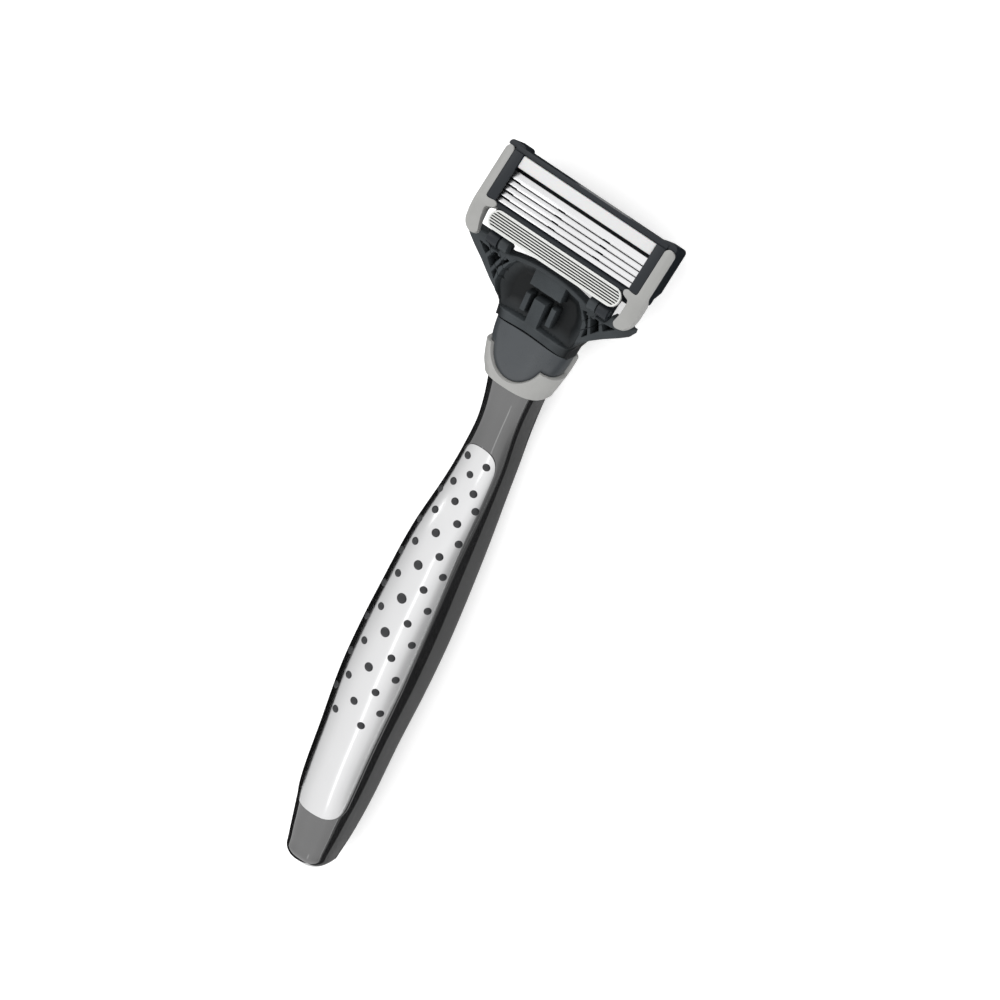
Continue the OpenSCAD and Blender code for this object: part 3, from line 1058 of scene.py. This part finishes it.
    def make_nubs(self) -> bpy.types.Object:
        """Models one nub as a stepped dome and copies it to every place."""
        start_clean()
        bpy.ops.mesh.primitive_circle_add(vertices=20, radius=MM, fill_type="NGON")
        master = bpy.context.object
        rise = ((1.0, 0.35), (0.99, 0.5), (0.93, 0.68), (0.8, 0.84), (0.58, 0.95), (0.3, 1.0))
        pick(master)
        bpy.ops.object.mode_set(mode="EDIT")
        pick_all()
        scale, height = 1.0, 0.0
        for wide, high in rise:
            bpy.ops.mesh.extrude_region_move(TRANSFORM_OT_translate={"value": (0, 0, (high - height) * MM)})
            factor = wide / scale
            bpy.ops.transform.resize(value=(factor, factor, 1))
            scale, height = wide, high
        pick_all()
        face_out()
        bpy.ops.object.mode_set(mode="OBJECT")
        copies = []
        for y, share, radius in self.nub_places():
            high = (1 - abs(share) ** self.spine.power) ** (1 / self.spine.power)
            w, t = float(self.spine.along(y, 1)), float(self.spine.along(y, 2))
            z = float(self.spine.middle(y)) + t * high + LIFT
            root = Vector((share * w, self.spine.butt + y, z)) * MM
            lean = math.radians(self.spine.normal_angle(y, abs(share)))
            place = Matrix.Translation(root) @ Matrix.Rotation(math.copysign(lean, share), 4, "Y")
            place = place @ Matrix.Translation((0, 0, (self.nub_rise - 1.0) * MM))
            nub = linked("nub", master.data.copy())
            nub.data.transform(place @ Matrix.Diagonal((radius, radius, 1, 1)))
            copies.append(nub)
        bpy.data.objects.remove(master)
        return smooth(joined("grip_nubs", copies), 60)


# ---------------------------------------------------------------- the neck


@dataclass
class Neck:
    """Collar, release button and what they hide."""

    spine: Spine
    foot: float = 110.15
    dip: float = 111.8
    side: float = 116.5
    dip_half: float = 4.8
    back: float = 119.9
    mouth: float = 122.1
    mouth_drop: float = 1.6
    gap: float = 0.15
    thick: float = 0.85
    button_thick: float = 1.3
    button_from: float = -18
    crown: float = 0.55
    half: float = 8.5
    side_half: float = 6.9
    side_drop: float = 0.6

    def build(self) -> None:
        """Makes the neck's pieces."""
        fit_piece(self.make_collar(), "handle", Finish.COLLAR, "warm_grey_trim", "neck_collar")
        fit_piece(self.make_button(), "release", Finish.BUTTON, "slate_button", "release_button")
        snout = smooth(soften(copy_of_node("docking_snout", "snout"), 0.12, 2), 30)
        fit_piece(snout, "handle", Finish.NYLON, "dark_nylon", "docking_snout")
        slider = smooth(soften(copy_of_node("ejector", "ejector_slider"), 0.12, 2), 30)
        fit_piece(slider, "release", Finish.ACETAL, "pale_acetal", "ejector")
        dress(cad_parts["ejector_spring"], Finish.SPRING)

    def edge(self, angle: np.ndarray) -> np.ndarray:
        """Distance of the collar's upper edge from the butt, round the neck."""
        s = np.sin(np.radians(angle))
        x = self.side_half * np.abs(spread_of(angle, self.spine.power))
        round_dip = 1 - np.sqrt(np.clip(1 - (x / self.dip_half) ** 2, 0, 1))
        dip = self.dip + (self.side - self.dip) * round_dip
        front = np.where(x < self.dip_half, dip, self.side - 0.3 * (x - self.dip_half))
        front = np.where(s < 0, self.side - self.side_drop, front)
        return front + (self.back - front) * eased(0.315, 0.4, -s)

    def arch(self, x: np.ndarray) -> np.ndarray:
        """Distance from the butt of the line where the button meets the yoke."""
        return self.mouth - self.mouth_drop * (x / self.half) ** 2

    def make_collar(self) -> bpy.types.Object:
        """Rolls a sheet into the sleeve and thickens it."""
        angles = steps(0, 360, 145)[None, :]
        top = self.edge(angles)
        y = self.foot + (top - self.foot) * steps(0, 1, 15)[:, None]
        collar = sheet_of("collar", self.spine.skin(y, np.broadcast_to(angles, y.shape))[:, ::-1])
        merge(collar, 2e-6)
        apply_modifier(collar, "SOLIDIFY", thickness=self.thick * MM, offset=-1)
        soften(collar, 0.16, 3, 50)
        return smooth(collar, 40)

    def make_button(self) -> bpy.types.Object:
        """Presses the domed button between the collar's dip and the yoke's arch."""
        angles = steps(self.button_from, 180 - self.button_from, 121)[None, :]
        x = 8 * spread_of(angles, self.spine.power)
        low, high = self.edge(angles) + self.gap, self.arch(x) - self.gap
        t = steps(0, 1, 33)[:, None]
        y = low + (high - low) * t
        crown = self.crown * np.clip(np.sin(np.radians((angles - 12) * 180 / 156)), 0, 1) ** 2
        crown = crown * np.sin(np.pi * np.clip(t * 0.75 + 0.12, 0, 1))
        skin = self.spine.skin(y, np.broadcast_to(angles, y.shape), -crown)
        button = sheet_of("thumb_button", skin[:, ::-1])
        apply_modifier(button, "SOLIDIFY", thickness=self.button_thick * MM, offset=-1)
        soften(button, 0.22, 3, 50)
        return smooth(button, 40)


# ---------------------------------------------------------------- the yoke


@dataclass
class Yoke:
    """The bowl with its two arms, and the knuckles that carry the cartridge."""

    spine: Spine
    pivot_y: float = 135.7
    pivot_z: float = 11.3 + LIFT
    side: tuple[tuple[float, float], ...] = (
        (120.5, 8.5),
        (122.8, 8.75),
        (124.6, 9.5),
        (126.2, 10.6),
        (128.1, 12.4),
        (130, 14.8),
        (131.8, 17.4),
        (133.2, 19.2),
        (134.6, 20.1),
        (136.5, 20.1),
    )
    top: tuple[tuple[float, float], ...] = ((120, 10.3), (130, 10.7), (135.9, 11.1), (137, 10.9))
    back: tuple[tuple[float, float], ...] = (
        (120, 0.3),
        (122.5, 0.35),
        (126, 1.1),
        (129.6, 2.3),
        (132.4, 5.6),
        (134.4, 8.5),
        (137, 9.1),
    )
    bowl: tuple[tuple[float, float], ...] = (
        (0, 135.15),
        (3.9, 134.9),
        (7.4, 134.1),
        (8.6, 132.6),
        (9.6, 130.6),
        (10, 128),
        (9.4, 125.3),
        (8.4, 123.1),
        (5, 123.8),
        (0, 124.2),
    )
    floor: float = 7.7
    socket_half: float = 4.6
    socket_reach: tuple[float, float] = (120, 129)
    socket_height: tuple[float, float] = (3.2, 7.4)

    def build(self) -> None:
        """Makes the yoke's pieces."""
        fit_piece(self.make_bowl(), "yoke", Finish.YOKE, "slate_plastic", "yoke")
        for side, name in ((1, "right"), (-1, "left")):
            fit_piece(self.make_knuckle(side, name), "yoke", Finish.YOKE, "slate_plastic")

    def half(self, y: np.ndarray) -> np.ndarray:
        """Half width of the yoke at distances from the butt."""
        at, wide = np.array(self.side).T
        return np.interp(y, at, wide)

    def edge_top(self, x: np.ndarray) -> np.ndarray:
        """Distance of the yoke's upper edge, across the yoke: brow, notches for the lugs and arm ends."""
        a = np.abs(x)
        brow = 136 - 1.5 * (np.minimum(a, 9.5) / 9.5) ** 2
        knuckle, slot, arm = 134.5, 133.4, 135.5
        y = brow + (knuckle - brow) * eased(9.4, 9.7, a)
        y = y + (slot - y) * eased(11.7, 11.95, a)
        return y + (arm - y) * eased(14.45, 14.7, a)

    def mouth_line(self, x: np.ndarray) -> np.ndarray:
        """The arch that the yoke shares with the button."""
        return 122.1 + 0.15 - 1.6 * (x / 8.5) ** 2

    def places(self) -> tuple[np.ndarray, np.ndarray, np.ndarray]:
        """Grid over the yoke's plan.

        Returns:
            Across, along and the share of the half width.
        """
        u = steps(-1, 1, 321)[None, :]
        v = steps(0, 1, 125)[:, None]
        low, high = self.mouth_line(u * 8.5), self.edge_top(u * 20.1)
        y = low + (high - low) * v
        return u * self.half(y), y, np.broadcast_to(u, y.shape)

    def make_bowl(self) -> bpy.types.Object:
        """Shapes the front and the back of the yoke over one plan and joins them at the rim."""
        x, y, u = self.places()
        rim = np.interp(y, *np.array(self.top).T) - 0.004 * np.clip(np.abs(x) - 8, 0, None) ** 2
        back = np.interp(y, *np.array(self.back).T)
        middle, thick, wide = self.spine.middle(121.5), self.spine.along(121.5, 2), self.half(y)
        oval = np.clip(1 - np.abs(x / wide) ** self.spine.power, 0, 1) ** (1 / self.spine.power)
        near = 1 - eased(121.2, 128.5, y)
        side = (1 - np.abs(u)) * wide
        end = np.clip(self.edge_top(u * 20.1) - y, 0, None)
        reach = 0.55
        d = np.clip(np.minimum(side, end), 0, reach)
        front = rim - (reach - np.sqrt(np.clip(reach**2 - (reach - d) ** 2, 0, None)))
        d = np.clip(side, 0, 2.2)
        under = back + (2.2 - np.sqrt(np.clip(2.2**2 - (2.2 - d) ** 2, 0, None)))
        front = front + (middle + thick * oval - front) * near
        under = under + (middle - thick * oval - under) * near
        under = np.minimum(under, front - 0.5 * (1 - near))
        front = self.carve(front, x, y)
        outer = sheet_of("yoke_front", np.stack([x, y + self.spine.butt, front], -1))
        inner = sheet_of("yoke_back", np.stack([x, y + self.spine.butt, under], -1)[:, ::-1])
        yoke = joined("yoke_bowl", [outer, inner])
        merge(yoke, 2e-6)
        edit(
            yoke,
            pick_rims,
            lambda: bpy.ops.mesh.bridge_edge_loops(),
            pick_all,
            face_out,
        )
        (low, high), (floor, roof) = self.socket_reach, self.socket_height
        mouth = rectangle(-self.socket_half, low + self.spine.butt, self.socket_half, high + self.spine.butt)
        socket = slab_of("socket", mouth, floor + LIFT, roof + LIFT, Matrix.Scale(MM, 4))
        apply_modifier(yoke, "BOOLEAN", operation="DIFFERENCE", object=socket, solver="MANIFOLD")
        bpy.data.objects.remove(socket)
        return smooth(yoke, 40)

    def carve(self, z: np.ndarray, x: np.ndarray, y: np.ndarray) -> np.ndarray:
        """Sinks the bowl and pockets into the front, and raises what stands in the bowl.

        Args:
            z: Height of the front.
            x: Places across.
            y: Places along.

        Returns:
            The carved height.
        """
        mirror = [(-px, py) for px, py in self.bowl[::-1]]
        d = inside_by(list(self.bowl) + mirror[1:-1], x, y)
        z = z + 0.12 * np.exp(-(((d + 0.22) / 0.2) ** 2))
        depth = 0.55 * eased(-0.08, 0.22, d) + 0.45 * eased(0.1, 3.2, d)
        z = z - (z - self.floor) * depth
        pockets = (
            ((8.9, 133.1), (10, 133.3), (11.5, 128.9), (10.6, 127.9), (10.6, 130.7)),
            ((10.8, 133), (12.6, 133), (13.4, 131), (12.1, 129.6)),
            ((13.4, 133), (16.4, 133.3), (14.2, 131.5)),
        )
        for pocket in pockets:
            d = inside_by(list(pocket), np.abs(x), y)
            z = z - (z - 8.3) * eased(-0.02, 0.22, d)
        blocks = (
            (-3.75, 3.75, 131, 135.4, 10),
            (-1.45, 1.45, 123.6, 129.4, 10.45),
            (-3.7, -2.4, 125.3, 129.4, 10),
            (2.4, 3.7, 125.3, 129.4, 10),
        )
        for x0, x1, y0, y1, high in blocks:
            d = inside_by(rectangle(x0, y0, x1, y1), x, y)
            z = np.maximum(z, self.floor + (high - self.floor) * eased(-0.12, 0.12, d))
        return z

    def make_knuckle(self, side: int, name: str) -> bpy.types.Object:
        """Models one knuckle block with its stub pin.

        Args:
            side: 1 for right or -1 for left.
            name: Word for the piece's name.

        Returns:
            The knuckle.
        """
        y = self.pivot_y + self.spine.butt
        start_clean()
        bpy.ops.mesh.primitive_cylinder_add(
            vertices=40,
            radius=1.4 * MM,
            depth=2.0 * MM,
            location=Vector((side * 10.7, y, self.pivot_z)) * MM,
            rotation=(0, math.pi / 2, 0),
        )
        block = bpy.context.object
        bpy.ops.mesh.primitive_cylinder_add(
            vertices=32,
            radius=0.8 * MM,
            depth=2.7 * MM,
            location=Vector((side * 12.95, y, self.pivot_z)) * MM,
            rotation=(0, math.pi / 2, 0),
        )
        pin = bpy.context.object
        for part in (block, pin):
            pick(part)
            bpy.ops.object.transform_apply(location=True, rotation=True, scale=True)
            soften(part, 0.15, 3)
        x0, x1 = sorted((side * 9.7, side * 11.7))
        web = box_of("web", (x0, y - 3.1, 9.2 + LIFT), (x1, y, 10.8 + LIFT), Matrix.Scale(MM, 4), 0.2)
        return smooth(joined(f"yoke_knuckle_{name}", [block, pin, web]), 35)


# ---------------------------------------------------------------- the cartridge


@dataclass
class Cartridge:
    """Everything that tilts on the yoke."""

    spine: Spine
    pivot: Vector = field(default_factory=lambda: Vector((0, 80.7, 11.3 + LIFT)))
    tilt: float = 23
    half: float = 20.3
    rail: float = 18.2
    split: float = 5.17
    blades: int = 5
    fins: int = 7
    fin_half: float = 0.12
    slope_width: float = 1.0
    slope: float = 0.75

    def __post_init__(self) -> None:
        """Works out the matrix from the cartridge's millimetres to the row's frame."""
        lean = Matrix.Rotation(math.radians(-self.tilt), 4, "X")
        self.place = Matrix.Scale(MM, 4) @ Matrix.Translation(self.pivot) @ lean

    def build(self) -> None:
        """Makes the cartridge's pieces."""
        self.plain("housing", "cartridge_housing", 0.16, Finish.CHARCOAL, "charcoal_plastic")
        self.plain("shelf", "guard_shelf", 0.12, Finish.CHARCOAL, "charcoal_plastic")
        self.plain("strip_bed", "strip_holder", 0.1, Finish.CHARCOAL, "charcoal_plastic")
        self.plain("wax_strip", "lube_strip", 0.14, Finish.STRIP, "strip_white")
        for side in ("left", "right"):
            self.plain(f"rail_{side}", f"retainer_{side}", 0.14, Finish.CHARCOAL, "charcoal_plastic")
        fit_piece(self.make_fins(), "cartridge", Finish.FIN, "fin_rubber", "fin_guard")
        for k in range(self.blades):
            self.plain(f"edge_{k + 1}", f"blade_{k + 1}", 0.012, Finish.BLADE, "blade_steel")
            self.plain(f"carrier_{k + 1}", f"blade_support_{k + 1}", 0.03, Finish.SUPPORT, "support_steel")
        self.make_sides()

    def plain(self, name: str, node: str, rounding: float, finish: Finish, slot: str) -> None:
        """Rounds the edges of a CAD shape and dresses it.

        Args:
            name: The piece's name.
            node: The node that it stands for.
            rounding: Width of the rounding in millimetres.
            finish: Its finish.
            slot: The record's material slot.
        """
        piece = smooth(soften(copy_of_node(node, name), rounding, 3), 32)
        fit_piece(piece, "cartridge", finish, slot, node)

    def make_fins(self) -> bpy.types.Object:
        """Models the guard's rim and its row of fins, over a near-black bed that is painted shade for the gaps
        between the fins.
        """
        low, high, wide = 1.25, 5.2, 15.7
        r = (high - low) / 2

        def stadium(inset: float) -> Outline:
            """Outline of the guard, set in."""
            arc = [math.radians(a) for a in range(-90, 91, 10)]
            right = [(wide - r + (r - inset) * math.cos(a), low + r + (r - inset) * math.sin(a)) for a in arc]
            return right + [(-x, y) for x, y in right[::-1]]

        # Near-black bed under the fins: painted shade in the gaps between them.
        bed = smooth(soften(slab_of("guard_shade_bed", stadium(0.05), 1.65, 2.34, self.place), 0.12, 2), 40)
        fit_piece(bed, "cartridge", Finish.BED, "charcoal_plastic")
        parts = []
        rim = slab_of("rim", stadium(0), 2.3, 3.02, self.place)
        hole = slab_of("hole", stadium(0.36), 2.2, 3.4, self.place)
        apply_modifier(rim, "BOOLEAN", operation="DIFFERENCE", object=hole, solver="EXACT")
        bpy.data.objects.remove(hole)
        parts.append(soften(rim, 0.1, 2))
        for k in range(self.fins):
            v = 1.72 + k * 3.06 / (self.fins - 1)
            reach = math.sqrt(max(0.0, (r - 0.3) ** 2 - (v - low - r) ** 2)) + wide - r
            strip = rectangle(-reach, v - self.fin_half, reach, v + self.fin_half)
            fin = slab_of("fin", strip, 2.2, 3.1, self.place)
            parts.append(soften(fin, 0.1, 3))
        return smooth(joined("finned_guard", parts), 40)

    def make_sides(self) -> None:
        """Models the soft side of the cartridge, parts it into trim and elbow, and mirrors both."""
        w, r = self.half, self.rail + 0.06
        outline = [
            (16.35, -0.75),
            (17.1, -1.45),
            (18.3, -1.35),
            (19.3, -0.6),
            (20, 0.5),
            (w, 2),
            (w, 16),
            (w - 0.7, 16.75),
            (r + 0.6, 16.75),
            (r, 16.1),
            (r, 5.95),
            (16.9, 6.0),
            (16.1, 6.2),
            (15.4, 5.7),
            (15.6, 4.95),
            (16.4, 4.6),
            (17.2, 4.35),
            (17.3, 3.7),
            (17.15, 2.6),
            (17, 1.4),
            (16.75, 0.5),
        ]
        side = slab_of("soft_side", rounded_outline(outline, 0.6, 4), 0, 1, Matrix.Identity(4))
        cuts = [*np.arange(-1.2, 7.2, 0.4), self.split]
        for at in cuts:
            edit(side, lambda at=at: bpy.ops.mesh.bisect(plane_co=(0, at, 0), plane_no=(0, 1, 0)))
        shoulder = w - self.slope_width
        edit(side, lambda: bpy.ops.mesh.bisect(plane_co=(shoulder, 0, 0), plane_no=(1, 0, 0)))
        for vertex in side.data.vertices:
            v = vertex.co.y
            top = 1.9 + 1.65 * float(eased(-1.5, 5.0, np.float64(v)))
            bottom = 0.5 + 1.75 * float(eased(5.0, 6.8, np.float64(v)))
            top -= self.slope * max(0.0, vertex.co.x - shoulder) * float(eased(-1, 2, np.float64(v)))
            vertex.co.z = top if vertex.co.z > 0.5 else bottom
        soften(side, 0.45, 4, 50)
        for name, node, keep_high in (("soft_side", "side_trim", True), ("elbow", "flex_link", False)):
            right = linked(f"{name}_right", side.data.copy())
            self.part_at(right, self.split, keep_high)
            right.data.transform(self.place)
            smooth(right, 50)
            for piece, hand in ((mirrored(right, f"{name}_left"), "left"), (right, "right")):
                dress(piece, Finish.TRIM)
                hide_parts(f"{node}_{hand}")
                if keep_high:
                    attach(piece, "cartridge")
                else:
                    self.bend(piece)
                LOG.info("%s: %d faces", piece.name, len(piece.data.polygons))
        bpy.data.objects.remove(side)

    def part_at(self, obj: bpy.types.Object, level: float, keep_high: bool) -> None:
        """Cuts an object across the face and keeps one part of it.

        Args:
            obj: The object, in the cartridge's millimetres.
            level: Height of the cut up the face.
            keep_high: True to keep the upper part.
        """
        edit(
            obj,
            lambda: bpy.ops.mesh.bisect(
                plane_co=(0, level, 0),
                plane_no=(0, 1, 0),
                use_fill=True,
                clear_inner=keep_high,
                clear_outer=not keep_high,
            ),
        )

    def bend(self, piece: bpy.types.Object) -> None:
        """Bakes an elbow's placement into its mesh; it is attached to no body and does not bend."""
        start = self.place @ Vector((0, -1.5, 1.8))
        end = self.place @ Vector((0, 4.6, 1.8))
        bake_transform(piece)


# ---------------------------------------------------------------- the studio


@dataclass
class Studio:
    """Floor, lights and camera."""

    view_width: float = 0.1889
    distance: float = 1.5
    centre: Vector = field(default_factory=lambda: Vector((14.77, 42.06, 25.04 + LIFT)) * MM)
    right: Vector = field(default_factory=lambda: Vector((0.7826, 0.3648, -0.5066)))
    up: Vector = field(default_factory=lambda: Vector((-0.5226, 0.8264, -0.2094)))

    def build(self) -> None:
        """Sets the scene."""
        self.make_floor()
        self.make_lights()
        self.make_camera()
        bpy.context.scene.view_settings.view_transform = "Standard"

    def make_floor(self) -> None:
        """Lays a wide pale sheet under the razor."""
        start_clean()
        bpy.ops.mesh.primitive_plane_add(size=6, location=(0, 0, -0.00002))
        floor = bpy.context.object
        floor.name = "paper"
        dress(floor, Finish.PAPER)

    def light(self, name: str, place: Sequence[float], size: Sequence[float], power: float) -> None:
        """Hangs one soft box that faces the razor's head.

        Args:
            name: The light's name.
            place: Where it hangs, in metres.
            size: Its width and height in metres.
            power: Its power in watts.
        """
        lamp = bpy.data.lights.new(name, "AREA")
        lamp.shape = "RECTANGLE"
        lamp.size, lamp.size_y = size
        lamp.energy = power
        holder = bpy.data.objects.new(name, lamp)
        holder.location = place
        holder.rotation_mode = "QUATERNION"
        holder.rotation_quaternion = (Vector((0, 0.02, 0)) - Vector(place)).to_track_quat("-Z", "Y")
        bpy.context.scene.collection.objects.link(holder)

    def make_lights(self) -> None:
        """Hangs the lamps, lays the cloths and sets the room's own light, which is palest overhead."""
        world = bpy.data.worlds.new("room")
        world.use_nodes = True
        tree = world.node_tree
        way = Wire(tree, tree.nodes.new("ShaderNodeTexCoord").outputs["Generated"])
        split = tree.nodes.new("ShaderNodeSeparateXYZ")
        tree.links.new(way.socket, split.inputs[0])
        ramp = tree.nodes.new("ShaderNodeValToRGB")
        stops = ((0.0, 0.62), (0.33, 0.95), (0.65, 1.0), (0.85, 0.82), (0.94, 0.48), (1.0, 0.35))
        while len(ramp.color_ramp.elements) < len(stops):
            ramp.color_ramp.elements.new(0.5)
        for element, (at, level) in zip(ramp.color_ramp.elements, stops):
            element.position = at
            element.color = (level, level, level, 1)
        tree.links.new((0.5 * Wire(tree, split.outputs[0]) + 0.5).socket, ramp.inputs[0])
        background = next(n for n in tree.nodes if n.type == "BACKGROUND")
        tree.links.new(ramp.outputs[0], background.inputs["Color"])
        background.inputs["Strength"].default_value = 1.2
        bpy.context.scene.world = world
        self.light("key", (-0.6, 0.5, 0.65), (0.5, 0.5), 1.5)
        self.light("streak", (0.055, -0.34, 0.72), (0.06, 0.7), 0.12)
        cloths = (
            ("left_flag", -0.3, -0.007, Finish.CLOTH),
            ("near_flag", 0.005, 0.016, Finish.SHADE),
            ("right_flag", 0.016, 0.052, Finish.CLOTH),
            ("far_flag", 0.052, 0.6, Finish.SHADE),
        )
        for name, start, end, finish in cloths:
            self.flag(name, ((start + end) / 2, 0.05, 0.001), (end - start, 0.6), finish)
        self.flag("left_wall", (-0.3, 0.05, 0.035), (0.07, 0.6), Finish.CLOTH, 90)
        self.flag("under_flag", (-0.001, 0.02, 0.0009), (0.012, 0.15), Finish.CLOTH)

    def flag(
        self, name: str, place: Sequence[float], size: Sequence[float], finish: Finish, turn: float = 0
    ) -> None:
        """Sets up a cloth that shows in glossy surfaces only.

        Args:
            name: The cloth's name.
            place: Its middle, in metres.
            size: Its width and length in metres.
            finish: What it is made of.
            turn: Its turn about the Y axis in degrees; 0 lies on the floor.
        """
        start_clean()
        bpy.ops.mesh.primitive_plane_add(size=1, location=place, rotation=(0, math.radians(turn), 0))
        cloth = bpy.context.object
        cloth.name = name
        cloth.scale = (*size, 1)
        cloth.visible_camera = cloth.visible_diffuse = cloth.visible_shadow = False
        dress(cloth, finish)

    def make_camera(self) -> None:
        """Places a camera without perspective at the viewing angle."""
        cam = bpy.data.cameras.new("camera")
        cam.type = "ORTHO"
        cam.ortho_scale = self.view_width
        holder = bpy.data.objects.new("camera", cam)
        right = self.right.normalized()
        toward = right.cross(self.up).normalized()
        basis = Matrix((right, toward.cross(right), toward)).transposed().to_4x4()
        holder.matrix_world = Matrix.Translation(self.centre + toward * self.distance) @ basis
        cam.clip_start, cam.clip_end = 0.05, 20
        bpy.context.scene.collection.objects.link(holder)
        bpy.context.scene.camera = holder


def main() -> None:
    """Builds the razor piece by piece."""
    logging.basicConfig(level=logging.INFO, format="%(message)s")
    Studio().build()
    spine = Spine()
    for part in (Handle(spine), Neck(spine), Yoke(spine), Cartridge(spine)):
        part.build()


if __name__ == "__main__":
    main()
